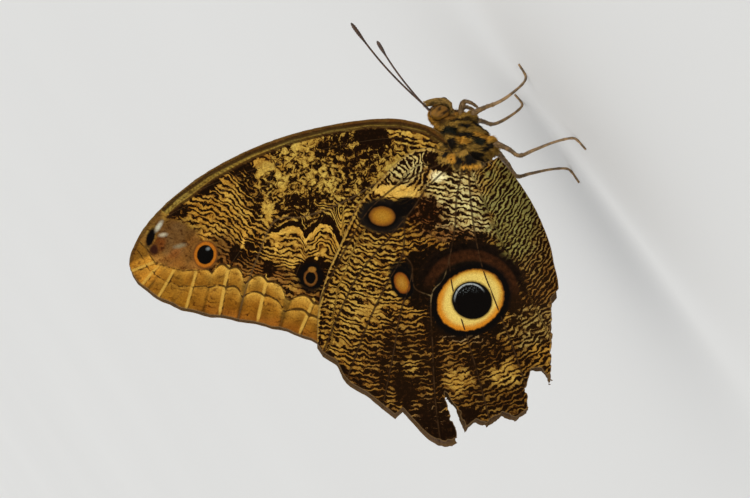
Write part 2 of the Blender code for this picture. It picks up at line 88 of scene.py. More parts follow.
# Wings, as the solids have them
MEMBRANE = 0.30
FOREWING_LAYER = 0.62
HINDWING_LAYER = 1.80
ROOT_FLARE = 1.2
FLARE_FOOT = 4.0
FLARE_HEIGHT = 10.0
TIP_SPREAD = 0.9
WING_LENGTH = 73.0
ABDOMEN_FRONT = -4.6
ABDOMEN_LENGTH = 27.5
ABDOMEN_RISE = 4.0
ABDOMEN_ROOM = 1.05
WING_MESH = 0.42
VEIN_STEP = 0.55
VEIN_FOOT = 0.24
FAINT = 0.14
RIM_STEP = 0.34
RIM_GAP = 0.12
RIM_CORNER = 28.0
RIM_CLEAR = 0.2
VEIN_CLEAR = 0.16
OUTWARD = 0.25
MERGE = 0.01
CLOUD_GRID = 97
FAR = 9.0

FOREWING_VEINS = [
    [(2.6, 3.4), (10.2, 9.2), (16.4, 17.6), (20.9, 27.6), (23.7, 37.6), (25.4, 47.0), (26.6, 53.0)],
    [(1.4, 3.0), (8.6, 10.6), (13.2, 18.6), (16.8, 27.2), (19.2, 35.6), (20.7, 44.0),
     (21.0, 53.0), (20.2, 62.0), (17.9, 73.6)],
    [(18.6, 33.0), (22.0, 43.0), (24.4, 53.0), (25.9, 60.6)],
    [(20.8, 46.0), (22.8, 56.0), (23.8, 66.6)],
    [(19.2, 35.6), (16.8, 38.6), (13.2, 41.0), (9.4, 42.6)],
    [(19.2, 35.6), (18.0, 46.0), (16.2, 58.0), (12.8, 73.0)],
    [(16.8, 38.6), (13.8, 50.0), (10.6, 61.0), (6.9, 70.6)],
    [(12.2, 41.4), (8.8, 51.0), (5.2, 60.0), (1.7, 66.4)],
    [(0.2, 2.8), (2.6, 12.5), (3.6, 20.0), (4.4, 28.5), (6.6, 37.0), (9.4, 42.6), (4.8, 50.5),
     (0.6, 56.4), (-3.7, 61.4)],
    [(5.2, 32.0), (0.5, 40.8), (-4.5, 48.4), (-10.3, 55.5)],
    [(-1.0, 2.8), (-2.2, 14.0), (-5.6, 25.0), (-10.2, 36.4), (-14.6, 45.6), (-17.4, 50.8)],
]
HINDWING_VEINS = [
    [(-2.2, 3.6), (0.1, 13.1), (0.5, 18.0), (-0.3, 25.1), (-2.6, 30.6), (-5.9, 37.4),
     (-11.2, 46.8)],
    [(-2.6, 3.6), (-3.4, 12.0), (-5.6, 18.2), (-7.6, 25.6), (-10.2, 34.8), (-14.2, 42.4),
     (-20.0, 51.6)],
    [(-6.4, 20.6), (-10.4, 23.6), (-12.9, 26.4), (-15.7, 32.3), (-19.4, 38.9), (-23.6, 45.2),
     (-27.4, 50.8)],
    [(-12.0, 25.2), (-15.6, 25.2), (-18.8, 28.6), (-22.2, 33.1), (-28.4, 39.4), (-36.2, 47.8)],
    [(-15.6, 25.2), (-19.4, 27.4), (-22.9, 25.6)],
    [(-3.4, 3.0), (-9.0, 9.0), (-13.2, 12.4), (-17.6, 16.8), (-21.4, 21.4), (-22.9, 25.6),
     (-31.4, 31.5), (-40.7, 37.6), (-49.6, 42.6)],
    [(-18.4, 17.8), (-24.2, 21.1), (-33.7, 24.6), (-41.1, 27.3), (-52.4, 31.8)],
    [(-4.2, 2.6), (-13.9, 8.6), (-23.6, 13.2), (-31.0, 15.4), (-43.4, 18.9), (-54.4, 22.6)],
]

# Guide lines on the picture plane
COSTA = [(-4.0, -0.6), (-8.0, -3.6), (-13.9, -5.0), (-20.2, -5.0), (-28.6, -3.8), (-37.0, -1.7),
         (-45.4, 1.5), (-53.8, 5.9), (-61.1, 11.3), (-66.4, 16.8), (-69.5, 22.1), (-70.3, 25.0)]
TERMEN = [(-70.3, 25.0), (-68.7, 29.0), (-66.4, 30.9), (-61.3, 33.8), (-54.8, 35.5),
          (-47.5, 36.8), (-38.9, 38.6), (-30.2, 42.2)]
HIND_FRONT = [(-2.9, 2.9), (-4.4, 2.1), (-7.6, 1.5), (-9.7, 1.5), (-11.8, 2.3), (-13.9, 3.8),
              (-18.1, 8.2), (-21.6, 12.0), (-23.7, 16.2), (-26.5, 21.8), (-29.6, 29.4),
              (-30.7, 35.1), (-31.1, 41.4)]
HIND_RIM = [(-31.1, 42.6), (-26.5, 46.6), (-20.8, 52.1), (-14.1, 56.7)]
FOLD_LINE = [(-1.0, 1.0), (0.8, 5.7), (7.1, 20.4), (11.5, 29.0), (16.6, 39.3)]

# Arches of the forewing's rim: along the rim, depth of the inner row's feet and height of its
# arches, then the same for the outer row
RIM_ALONG = (0.0, 5.0, 12.0, 17.0, 21.0, 25.0, 32.0, 40.0, 50.0)
INNER_FEET = (4.6, 5.8, 6.9, 7.5, 7.9, 7.8, 6.6, 5.7, 5.2)
INNER_RISE = (0.0, 0.0, 0.1, 0.8, 2.7, 2.8, 2.9, 2.5, 2.0)
OUTER_FEET = (2.8, 3.3, 3.8, 4.4, 5.2, 5.0, 3.9, 3.2, 3.0)
OUTER_RISE = (0.0, 0.0, 0.1, 0.4, 0.9, 1.4, 2.2, 1.9, 1.6)

# Two black arches of the forewing: middle, top, drop and reach to the left, drop and reach to the
# right, then half the line's thickness at the left and at the right
ARCHES = [(-29.6, 16.3, 2.2, 3.4, 4.6, 3.8, 0.50, 1.00),
          (-35.6, 17.1, 1.4, 5.0, 2.6, 2.2, 0.28, 0.62)]
ARCH_SPLIT = -33.3
ARCH_LEFT = -41.0
ARCH_RIGHT = -25.8
ARCH_LEVEL = 18.0

# Veins of the forewing that show as a dark line, by their place in the list
DARK_VEINS = (8,)

# Wear of the hindwing's rim: how deep, and where it begins on the picture plane
RIM_WEAR = 0.42
WEAR_DOWN = 34.0
WEAR_ACROSS = -8.0

# Patches on the picture plane: across, down, half length, half height, turn, blur, goal, strength

# Colours of the hindwing's ground
HIND_GROUND = [
    (-23.9, 29.8, 7.5, 14.6, 25, 0.5, "straw", 0.8),
    (-15.0, 8.8, 2.9, 12.6, 40, 0.5, "straw", 0.9),
    (-9.7, 46.6, 12.5, 9.4, 0, 0.5, "umber", 0.85),
    (7.1, 50.8, 9.6, 9.6, 0, 0.4, "bronze", 0.9),
    (-12.2, 4.8, 6.0, 3.4, -35, 0.3, "cream", 0.8),
    (-2.9, 13.0, 6.4, 7.4, 0, 0.3, "cream", 1.0),
    (1.9, 17.4, 4.2, 3.1, 20, 0.4, "cream", 1.0),
    (-6.0, 7.2, 1.8, 1.2, 10, 0.4, "chalk", 0.85),
    (11.3, 16.6, 7.6, 19.0, -8, 0.3, "fold_grey", 1.0),
    (16.8, 25.0, 2.2, 9.4, -8, 0.5, "umber", 0.8),
    (13.9, 33.0, 5.4, 8.4, 0, 0.5, "umber", 0.9),
    (13.0, 38.4, 5.4, 3.6, -10, 0.4, "straw_pale", 1.0),
    (-11.8, 47.6, 3.6, 7.0, 0, 0.6, "bronze", 0.8),
    (-8.4, 14.9, 4.2, 3.4, 20, 0.4, "rust", 1.0),
    (-2.9, 19.5, 7.1, 1.7, 5, 0.5, "rust", 0.9),
    (-15.1, 10.3, 5.2, 1.4, 5, 0.3, "apricot", 1.0),
    (-20.6, 35.1, 3.4, 3.4, 0, 0.5, "gold", 0.9),
    (-11.5, 46.8, 1.7, 2.6, 0, 0.5, "gold", 0.6),
    (-1.9, 49.8, 2.9, 2.5, 0, 0.5, "gold", 0.9),
    (8.4, 48.1, 3.6, 2.7, -20, 0.5, "gold", 0.9),
    (-2.3, 40.1, 5.5, 1.3, 10, 0.5, "grey", 0.9),
    (-6.3, 59.0, 5.5, 3.8, 35, 0.4, "grey", 0.7),
]

# How much of the ground the hindwing's dark ripples cover, 0.5 being about half
HIND_COVER = [
    (-23.9, 29.8, 7.5, 14.6, 25, 0.5, 0.50, 1.0),
    (-9.7, 46.6, 12.5, 9.4, 0, 0.5, 0.58, 1.0),
    (7.1, 50.8, 9.6, 9.6, 0, 0.4, 0.60, 1.0),
    (-11.8, 47.6, 3.4, 6.6, 0, 0.4, 0.70, 1.0),
    (-2.9, 13.0, 6.4, 7.4, 0, 0.3, 0.47, 1.0),
    (11.3, 16.6, 7.6, 19.0, -8, 0.3, 0.50, 1.0),
    (16.8, 25.0, 2.2, 9.4, -8, 0.5, 0.62, 1.0),
    (13.2, 31.6, 4.4, 6.4, 0, 0.5, 0.68, 1.0),
    (13.4, 38.0, 5.6, 3.8, -10, 0.4, 0.55, 1.0),
    (-6.0, 7.2, 1.8, 1.2, 10, 0.4, 0.10, 1.0),
    (-5.0, 4.0, 3.6, 2.0, 5, 0.3, 0.98, 1.0),
    (-8.4, 14.9, 4.2, 3.4, 20, 0.4, 0.66, 1.0),
    (0.2, 30.7, 9.7, 9.5, 0, 0.15, 1.0, 1.0),
    (-8.8, 28.2, 4.3, 6.6, 10, 0.25, 1.0, 1.0),
    (-7.2, 37.6, 2.0, 4.2, 0, 0.4, 0.86, 0.9),
    (-16.8, 46.0, 1.2, 8.0, 5, 0.4, 0.76, 0.9),
    (-6.3, 49.8, 1.2, 9.0, -5, 0.4, 0.80, 0.9),
    (-13.2, 51.4, 1.7, 3.8, 0, 0.3, 0.98, 1.0),
    (4.0, 44.5, 4.2, 2.9, 0, 0.5, 0.68, 1.0),
    (-6.3, 59.0, 5.5, 3.8, 35, 0.3, 0.90, 1.0),
    (0.0, 56.9, 2.5, 1.9, 0, 0.3, 0.98, 1.0),
    (-15.1, 10.3, 5.2, 1.2, 5, 0.3, 0.05, 1.0),
    (-11.5, 46.8, 1.7, 2.6, 0, 0.5, 0.45, 0.9),
    (-1.9, 49.8, 2.8, 2.5, 0, 0.5, 0.34, 1.0),
    (8.4, 48.1, 3.4, 2.7, -20, 0.5, 0.40, 1.0),
    (-20.6, 35.1, 2.6, 2.8, 0, 0.5, 0.28, 0.9),
]

# Colours of the hindwing's dark ripples
HIND_INK = [
    (0.3, 31.1, 11.0, 11.2, 0, 0.2, "halo", 1.0),
    (-8.8, 28.2, 5.0, 7.4, 10, 0.3, "halo", 1.0),
    (-9.7, 46.6, 14.5, 10.4, 0, 0.4, "ink_brown", 0.5),
    (13.9, 33.0, 5.4, 8.4, 0, 0.4, "ink_brown", 0.8),
]

# The same for the forewing, and where it has blotches in place of ripples
FORE_GROUND = [
    (-28.6, 5.7, 17.8, 10.8, -18, 0.2, "olive", 1.0),
    (-60.0, 22.0, 9.0, 4.9, 36, 0.3, "smoke", 1.0),
    (-50.4, 22.5, 3.4, 3.2, 0, 0.4, "smoke", 0.9),
    (-61.7, 20.2, 2.6, 3.6, 20, 0.5, "mauve", 0.8),
    (-61.3, 24.4, 1.0, 2.2, 25, 0.6, "sienna", 0.6),
    (-54.4, 26.4, 1.4, 0.7, 0, 0.5, "sienna", 0.8),
    (-64.4, 21.9, 1.3, 2.2, 35, 0.5, "sienna", 1.0),
    (-66.9, 21.0, 1.2, 3.4, 25, 0.4, "straw", 0.9),
    (-44.2, 26.0, 7.0, 2.0, 15, 0.5, "smoke", 0.8),
    (-28.6, 33.0, 2.9, 8.1, 10, 0.5, "umber", 0.9),
    (-40.0, 27.5, 8.5, 1.6, 22, 0.5, "smoke", 0.7),
    (-39.7, 22.2, 0.38, 1.7, 12, 0.4, "margin_light", 0.8),
    (-46.6, 21.0, 0.38, 1.8, 12, 0.4, "margin_light", 0.8),
    (-31.3, 24.3, 0.35, 1.4, 8, 0.4, "margin_light", 0.8),
]
FORE_COVER = [
    (-28.6, 5.7, 17.8, 10.8, -18, 0.2, 0.53, 1.0),
    (-60.0, 22.0, 9.0, 4.9, 36, 0.3, 0.20, 1.0),
    (-35.6, 13.6, 6.9, 2.2, -18, 0.4, 0.67, 1.0),
    (-24.0, 6.4, 2.6, 4.6, -30, 0.5, 0.58, 1.0),
    (-21.0, 1.9, 4.2, 2.0, -10, 0.5, 0.68, 1.0),
    (-33.5, 0.6, 3.4, 1.2, -15, 0.5, 0.25, 0.8),
    (-28.6, 1.1, 3.4, 1.4, -15, 0.5, 0.68, 1.0),
    (-42.0, 14.9, 1.5, 2.4, 15, 0.4, 0.14, 1.0),
    (-42.0, 5.2, 2.3, 1.7, -20, 0.4, 0.24, 1.0),
    (-38.9, 8.0, 1.2, 2.2, -10, 0.5, 0.28, 0.9),
    (-30.4, 7.6, 4.4, 1.7, 32, 0.5, 0.36, 0.9),
    (-35.4, 3.6, 4.0, 1.3, -25, 0.5, 0.42, 0.8),
    (-14.9, 6.1, 3.4, 2.5, -30, 0.5, 0.30, 1.0),
    (-46.8, 5.9, 2.7, 1.3, -5, 0.4, 0.92, 1.0),
    (-54.2, 9.2, 2.7, 1.5, -35, 0.3, 0.98, 1.0),
    (-60.1, 14.7, 2.7, 1.0, -15, 0.4, 0.90, 1.0),
    (-28.1, 0.1, 2.9, 1.2, -8, 0.4, 0.74, 1.0),
    (-19.7, -1.3, 3.6, 1.5, 0, 0.2, 1.0, 1.0),
    (-44.9, 12.0, 1.5, 5.4, -20, 0.5, 0.62, 1.0),
    (-45.4, 22.5, 3.8, 2.3, 0, 0.5, 0.80, 1.0),
    (-50.4, 22.5, 2.9, 2.9, 0, 0.4, 0.40, 1.0),
    (-48.4, 23.4, 1.0, 1.7, 10, 0.4, 1.3, 1.0),
    (-41.2, 26.2, 1.3, 1.7, 0, 0.4, 0.95, 1.0),
    (-32.0, 27.3, 3.3, 2.7, -10, 0.3, 1.4, 1.0),
    (-28.6, 33.0, 2.9, 8.1, 10, 0.5, 0.62, 1.0),
    (-39.7, 22.2, 0.32, 1.6, 12, 0.4, 0.1, 0.8),
    (-46.6, 21.0, 0.32, 1.7, 12, 0.4, 0.1, 0.8),
    (-31.3, 24.3, 0.30, 1.3, 8, 0.4, 0.1, 0.8),
]
FORE_INK = [
    (-60.0, 22.0, 9.0, 4.9, 36, 0.3, "smoke_dark", 1.0),
]
FORE_BLOTCH = [
    (-29.6, 5.2, 16.4, 9.0, -18, 0.2, 1.0, 1.0),
    (-60.0, 22.0, 9.2, 5.2, 36, 0.3, 0.7, 1.0),
]

# Middles and shapes of the eyespots: across, down, half length, half height, turn
OCELLUS = (0.75, 32.9, 1.11, 0.915, -32)
PUPIL = (1.05, 33.0, 1.03, 0.96, 10)
SPOT_FRONT = (-17.6, 15.5, 2.75, 2.05, 5)
SPOT_MIDDLE = (-13.5, 29.4, 1.6, 2.4, -22)
FORE_OCELLUS = (-54.45, 23.5, 0.93, 1.08, 8)
FORE_SMALL = (-32.5, 28.3, 0.95, 1.15, 0)

# Rings of the eyespots in the order they are laid: the mark, the reach of the last ring, each
# ring's distance and colour with its strength, and how ragged the rings are
BLACK = (0.0035, 0.0025, 0.0020)
DUSK = (0.010, 0.007, 0.004)
HIND_RINGS = [
    (SPOT_FRONT, 2.4, [
        (0.0, (0.42, 0.20, 0.022)), (0.62, (0.36, 0.15, 0.015)), (0.93, (0.17, 0.055, 0.008)),
        (1.08, BLACK), (1.50, (0.010, 0.007, 0.005)), (1.72, (0.012, 0.008, 0.005, 0.85)),
        (2.0, (0.02, 0.01, 0.004, 0.0))], 0.25),
    ((-13.4, 13.6, 3.4, 2.2, -28), 1.5, [
        (0.0, BLACK), (0.75, (*BLACK, 0.95)), (1.0, (*DUSK, 0.0))], 0.3),
    (SPOT_FRONT, 1.6, [
        (0.0, (0.44, 0.215, 0.022)), (0.60, (0.36, 0.15, 0.012)), (0.90, (0.20, 0.070, 0.009)),
        (1.06, BLACK), (1.25, (*BLACK, 0.0))], 0.12),
    ((-13.9, 26.9, 2.4, 2.2, 0), 1.5, [
        (0.0, BLACK), (0.8, (*BLACK, 0.9)), (1.1, (*DUSK, 0.0))], 0.4),
    (SPOT_MIDDLE, 2.0, [
        (0.0, (0.44, 0.215, 0.030)), (0.55, (0.36, 0.145, 0.012)), (0.88, (0.22, 0.060, 0.007)),
        (1.02, BLACK), (1.32, BLACK), (1.6, (*DUSK, 0.0))], 0.15),
    (OCELLUS, 9.0, [
        (0.0, (0.78, 0.60, 0.16)), (5.30, (0.76, 0.55, 0.13)), (6.10, (0.62, 0.33, 0.04)),
        (6.45, (0.26, 0.090, 0.009)), (6.72, BLACK), (7.50, BLACK),
        (8.4, (0.006, 0.004, 0.003, 0.0))], 0.55),
]
PUPIL_RINGS = [(0.0, BLACK), (3.95, BLACK), (4.18, (0.20, 0.11, 0.02, 0.6)),
               (4.5, (0.5, 0.3, 0.05, 0.0))]
FORE_RINGS = [
    (FORE_OCELLUS, 4.0, [
        (0.0, BLACK), (1.78, BLACK), (1.98, (0.47, 0.145, 0.010)), (2.34, (0.44, 0.130, 0.010)),
        (2.60, (0.15, 0.05, 0.010, 0.9)), (3.0, (0.12, 0.05, 0.014, 0.0))], 0.22),
    (FORE_SMALL, 3.4, [
        (0.0, BLACK), (1.00, BLACK), (1.20, (0.19, 0.072, 0.012)), (1.42, (0.14, 0.050, 0.009)),
        (1.66, BLACK), (2.5, (*BLACK, 0.9)), (3.2, (*BLACK, 0.0))], 0.45),
]

# Small marks over the forewing's rings: the mark, colour, where it fades from and to, raggedness
FORE_MARKS = [
    ((-53.9, 22.3, 0.55, 0.42, -20), (0.17, 0.19, 0.19), 0.2, 1.3, 0.5),
    ((-32.2, 26.6, 0.85, 0.62, 0), (0.30, 0.13, 0.018), 0.7, 1.2, 0.3),
    ((-65.9, 19.9, 0.85, 2.1, 20), BLACK, 0.75, 1.25, 0.7),
    ((-65.1, 22.5, 0.9, 1.0, 0), (0.035, 0.010, 0.005), 0.6, 1.4, 0.7),
    ((-64.2, 17.6, 0.42, 1.1, 32), (0.52, 0.50, 0.38), 0.2, 1.8, 0.7),
    ((-63.3, 19.4, 0.80, 0.36, -10), (0.46, 0.40, 0.27), 0.2, 1.8, 0.7),
    ((-59.8, 21.7, 1.1, 0.40, -12), (0.24, 0.19, 0.105), 0.1, 1.9, 0.7),
]

# The body, its limbs and feelers, from the middle of the thorax, as the solids have them
EYE = (8.2, 1.65, 0.9)
EYE_HALF = (1.55, 1.35, 2.0)
EYE_TILT = 30.0
FACET_RIM = 0.016
FACET_RISE = 0.009
PALP = [(7.4, -1.0, -1.2), (8.5, -1.25, -1.98), (9.8, -1.35, -1.45), (10.8, -1.35, -0.25),
        (11.45, -1.30, 1.0), (11.95, -1.25, 2.2)]
ANTENNA_ROOT = (8.9, -0.9, 1.9)
ANTENNA_BOW = (0.5, 0.9, 0.8)
ANTENNA_TIPS = {"right": (31.2, -17.0, 7.2), "left": (32.9, -17.0, -0.8)}
ANTENNA_JOINTS = 46
MIDLEG = [(3.4, -1.2, -2.4, 0.70), (3.7, -2.6, -4.5, 0.66), (2.8, -5.4, -6.6, 0.46),
          (1.7, -8.0, -8.3, 0.40), (1.2, -8.8, -10.6, 0.36), (1.2, -9.6, -14.0, 0.28),
          (1.6, -10.2, -16.1, 0.26), (2.6, -10.9, -16.76, 0.25), (4.9, -11.8, -16.78, 0.22)]
HINDLEG = [(-3.4, -1.4, -2.8, 0.72), (-4.6, -2.8, -4.5, 0.66), (-7.4, -5.6, -5.4, 0.48),
           (-10.4, -8.4, -5.9, 0.40), (-11.4, -9.6, -8.6, 0.36), (-12.8, -11.2, -12.8, 0.28),
           (-14.4, -12.4, -16.0, 0.26), (-15.8, -13.0, -16.76, 0.25), (-18.4, -13.8, -16.78, 0.22)]
FORELEG = [(5.0, -1.2, -2.2, 0.56), (6.6, -1.9, -3.6, 0.50), (6.9, -2.1, -4.7, 0.42),
           (5.9, -2.2, -5.6, 0.34), (4.4, -2.0, -6.2, 0.26)]
TONGUE_CENTRE = (9.9, 0.0, -1.6)
TONGUE_TURNS = 1.1
TONGUE_PITCH = 0.68
TONGUE_RADIUS = 0.24
TONGUE_START = 0.45
TONGUE_PHASE = 1.46
TONGUE_ROOT = (8.95, 0.0, -0.75)
TONGUE_RINGS = 90

# Legs: name, line, where the joints are along it, and how many hairs are tried
LEG_STEP = 0.22
LEG_JOINTS = (0.05, 0.42, 0.77, 0.84, 0.90, 0.95)
LEGS = (("foreleg_", FORELEG, (0.45,), 900), ("midleg_", MIDLEG, LEG_JOINTS, 1500),
        ("hindleg_", HINDLEG, LEG_JOINTS, 1500))

# A tuft is a blade of seven points: its faces, its map, and how far each point is to the tip
TUFT_FACES = [(0, 1, 2), (0, 3, 4), (0, 4, 1), (1, 4, 5), (1, 5, 2), (2, 5, 3), (2, 3, 0),
              (3, 6, 4), (4, 6, 5), (5, 6, 3)]
TUFT_MAP = [(0.0, 0.0), (1.0, 0.0), (0.5, 0.3), (0.1, 0.6), (0.9, 0.6), (0.5, 0.7), (0.5, 1.0)]
TUFT_TIP = (0.0, 0.0, 0.1, 0.5, 0.5, 0.55, 1.0)

# The body: how far its parts swell to grow together, how many tufts are tried on it, and how
# many dark rings the abdomen has
SWELL = 0.22
COAT_COUNT = 64000
ABDOMEN_RINGS = 7

# Lumps that the flesh has between its parts: middle, then half sizes, two of them in the middle
# and the others on both sides
LUMPS = [((5.6, 0.0, 1.1), (2.4, 2.3, 2.5)), ((5.6, 0.0, -2.0), (1.8, 1.5, 1.3))]
LUMPS += [((x, turn * y, z), half) for (x, y, z), half in (
    ((6.2, 1.1, 2.4), (1.3, 1.0, 1.1)), ((2.4, 3.0, 2.3), (2.3, 1.0, 1.3)),
    ((3.6, 1.7, -3.6), (1.5, 1.2, 1.5)), ((-3.6, 1.9, -3.7), (1.7, 1.2, 1.5)),
    ((5.2, 1.2, -2.4), (1.3, 0.9, 1.3))) for turn in (1.0, -1.0)]

# Hair over the wings' bases: its middle and half sizes on the picture plane, how many tufts are
# tried, and the field on the body's plane in which they are tried
ROOT_HAIR = (-0.4, 2.2, 5.2, 3.2)
ROOT_COUNT = 20000
ROOT_FIELD = ((-8.0, -4.0), (6.0, 8.0))

# Patches of the thorax: across, down, half length, half height, turn, blur, colour, strength
THORAX_PATCHES = [
    (-1.26, -4.9, 2.3, 0.50, 2, 0.24, "fur_dark", 0.9),
    (-0.95, -3.3, 1.6, 0.45, 0, 0.24, "fur_dark", 1.0),
    (-3.8, -2.4, 1.7, 0.65, 10, 0.24, "fur_green", 1.0),
    (-1.2, -1.5, 2.2, 0.60, -5, 0.24, "fur_dark", 1.0),
    (2.1, -0.3, 1.5, 0.85, 0, 0.24, "fur_green", 1.0),
    (4.0, 0.9, 1.8, 0.60, -30, 0.24, "fur_dark", 1.0),
    (-3.3, 0.3, 1.1, 0.65, 20, 0.24, "fur_dark", 0.9),
    (-1.2, 0.9, 1.0, 0.75, 0, 0.24, "fur_dark", 0.9),
    (1.2, 2.8, 1.8, 0.95, 0, 0.24, "fur_dark", 1.0),
    (-1.7, 3.8, 0.95, 1.2, 0, 0.24, "fur_dark", 0.9),
    (-1.5, -0.4, 1.8, 0.60, 10, 0.24, "fur_orange", 1.0),
    (1.9, -1.7, 1.8, 0.60, 15, 0.24, "fur_orange", 1.0),
    (-1.3, -4.2, 2.1, 0.42, -5, 0.30, "fur_tan", 1.0),
    (-4.2, -3.5, 1.5, 0.42, 10, 0.30, "fur_tan", 1.0),
    (0.8, 0.95, 1.8, 0.45, 0, 0.30, "fur_tan", 0.8),
    (4.8, 2.1, 2.1, 0.75, -30, 0.30, "fur_tan", 1.0),
    (-2.7, 2.9, 0.85, 0.95, 30, 0.30, "fur_orange", 1.0),
    (1.0, 4.5, 2.1, 0.55, 5, 0.30, "fur_orange", 1.0),
    (-0.6, -2.5, 2.3, 0.42, -5, 0.30, "fur_tan", 0.9),
    (4.4, -0.9, 1.1, 0.95, 30, 0.30, "fur_orange", 0.8),
]


def hue(name, note, value):
    """A colour setting."""
    return bpy.props.FloatVectorProperty(name=name, description=note, size=3, subtype="COLOR",
                                         default=value)


def span(name, note, value):
    """A length setting, given in millimetres."""
    return bpy.props.FloatProperty(name=name, description=note, default=value * MM, unit="LENGTH")


class WingSizes(bpy.types.PropertyGroup):
    """Sizes of the finish that a user would change."""

    vein_relief: span("Vein relief", "How far the veins stand over the membrane", 0.13)
    pleat: span("Pleat", "How far the membrane sinks between two veins", 0.10)
    flutter: span("Flutter", "Height of the slow waves in the membrane", 0.10)
    ripple: span("Ripple spacing", "From one dark ripple of the wings to the next", 1.13)


class WingColours(bpy.types.PropertyGroup):
    """Colours of the wings."""

    tan: hue("Tan", "Ground between the ripples", (0.41, 0.235, 0.042))
    straw: hue("Straw", "Paler ground at the front", (0.42, 0.265, 0.055))
    straw_pale: hue("Pale straw", "Pale field under the ocellus", (0.33, 0.25, 0.085))
    gold: hue("Gold", "Golden patches", (0.38, 0.235, 0.050))
    bronze: hue("Bronze", "Ground of the rear field", (0.165, 0.093, 0.021))
    umber: hue("Umber", "Brown ground of the lower field", (0.22, 0.118, 0.028))
    cream: hue("Cream", "Pale field near the root", (0.52, 0.455, 0.21))
    chalk: hue("Chalk", "White spark near the root", (0.66, 0.60, 0.38))
    fold_grey: hue("Fold", "Grey-green lines of the inner fold", (0.20, 0.18, 0.058))
    grey: hue("Grey", "Greyish scales at the rim", (0.20, 0.16, 0.10))
    rust: hue("Rust", "Reddish field", (0.17, 0.07, 0.02))
    apricot: hue("Apricot", "Bar over the front spot", (0.56, 0.37, 0.09))
    olive: hue("Olive", "Blotches of the forewing's cell", (0.44, 0.295, 0.062))
    smoke: hue("Smoke", "Brown of the forewing's tip", (0.14, 0.064, 0.016))
    smoke_dark: hue("Dark smoke", "Clouds in the forewing's tip", (0.05, 0.02, 0.006))
    mauve: hue("Mauve", "Paler brown at the tip", (0.175, 0.088, 0.03))
    sienna: hue("Sienna", "Red-brown at the tip", (0.17, 0.05, 0.01))
    margin: hue("Margin", "Golden brown of the forewing's rim", (0.19, 0.077, 0.006))
    margin_light: hue("Margin light", "Light edge of the rim's arches", (0.58, 0.345, 0.066))
    costal: hue("Costa", "Brown of the leading edge", (0.075, 0.032, 0.008))
    ink: hue("Ink", "Black-brown of the ripples", (0.0085, 0.0032, 0.0008))
    ink_brown: hue("Brown ink", "Brown ripples of the lower field", (0.015, 0.006, 0.0015))
    halo: hue("Halo", "Dark brown around the ocellus", (0.0065, 0.003, 0.001))
    vein: hue("Vein", "Pale line on each vein", (0.34, 0.24, 0.1))
    upper: hue("Upper side", "Brown of the wings' other side", (0.07, 0.035, 0.016))


class BodySizes(bpy.types.PropertyGroup):
    """Sizes of the skin, its coat and the cells of the eyes."""

    coat_depth: span("Coat depth", "How far the skin lies inside the solid body", 0.25)
    skin_cell: span("Skin cell", "Size of the faces of the joined skin", 0.14)
    thorax_hair: span("Thorax hair", "Length of the hair-like scales of the thorax", 1.25)
    head_hair: span("Head hair", "Length of the hair on the head", 0.75)
    abdomen_hair: span("Abdomen hair", "Length of the scales of the abdomen", 0.60)
    facet: span("Facet", "Size of the fine cells of the eyes", 0.055)


class BodyColours(bpy.types.PropertyGroup):
    """Colours of the body, its limbs and its eyes."""

    fur_tan: hue("Tan fur", "Most of the coat", (0.37, 0.210, 0.038))
    fur_orange: hue("Orange fur", "Bright patches of the thorax", (0.60, 0.290, 0.034))
    fur_dark: hue("Dark fur", "Black-brown patches", (0.012, 0.008, 0.004))
    fur_green: hue("Green-black fur", "Greenish dark patches", (0.016, 0.017, 0.009))
    fur_head: hue("Head fur", "Golden brown of the head", (0.36, 0.165, 0.024))
    palp: hue("Palps", "Pale tan of the palps", (0.33, 0.195, 0.048))
    belly: hue("Abdomen", "Brown of the abdomen", (0.2, 0.125, 0.05))
    eye: hue("Eye", "Amber brown of the eyes", (0.115, 0.050, 0.007))
    horn: hue("Horn", "Dark red-brown of feelers and tongue", (0.045, 0.02, 0.008))
    leg: hue("Leg", "Tan brown of the legs", (0.15, 0.088, 0.034))


def new_piece(name, mesh):
    """A named object in the scene, riding on the model's one body."""
    piece = bpy.data.objects.new(name, mesh)
    bpy.context.scene.collection.objects.link(piece)
    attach(piece, "root")
    return piece


def smooth(value, start, end):
    """0 before start and 1 after end, with an even slope between, for arrays."""
    share = np.clip((value - start) / (end - start), 0.0, 1.0)
    return share * share * (3.0 - 2.0 * share)


def fade(value, start, end):
    """1 before start and 0 after end, for arrays."""
    return 1.0 - smooth(value, start, end)


def lay(ground, goal, share):
    """Move an array's values or colours toward a goal, by a share for each point."""
    ground += (goal - ground) * (share[:, None] if ground.ndim > 1 else share)


def cloud(plane, size, seed):
    """Soft random field between 0 and 1 with bumps of one size."""
    grid = np.random.default_rng(seed).random((CLOUD_GRID, CLOUD_GRID))
    spot = plane[:, :2] / size + 500.0
    cell = np.floor(spot).astype(int)
    share = spot - cell
    right, down = (share * share * (3.0 - 2.0 * share)).T
    x0, y0 = cell.T % CLOUD_GRID
    x1, y1 = (x0 + 1) % CLOUD_GRID, (y0 + 1) % CLOUD_GRID
    top = grid[x0, y0] * (1 - right) + grid[x1, y0] * right
    bottom = grid[x0, y1] * (1 - right) + grid[x1, y1] * right
    return top * (1 - down) + bottom * down


def nearest(points, line):
    """For each point: distance to a line of straight stretches, which stretch, where on it."""
    best = np.full(len(points), 1e9)
    which = np.zeros(len(points), int)
    where = np.zeros(len(points))
    for index, (start, step) in enumerate(zip(line, np.diff(line, axis=0))):
        share = np.clip(((points - start) @ step) / (step @ step), 0.0, 1.0)
        distance = np.linalg.norm(points - start - share[:, None] * step, axis=1)
        nearer = distance < best
        best[nearer] = distance[nearer]
        which[nearer] = index
        where[nearer] = share[nearer]
    return best, which, where


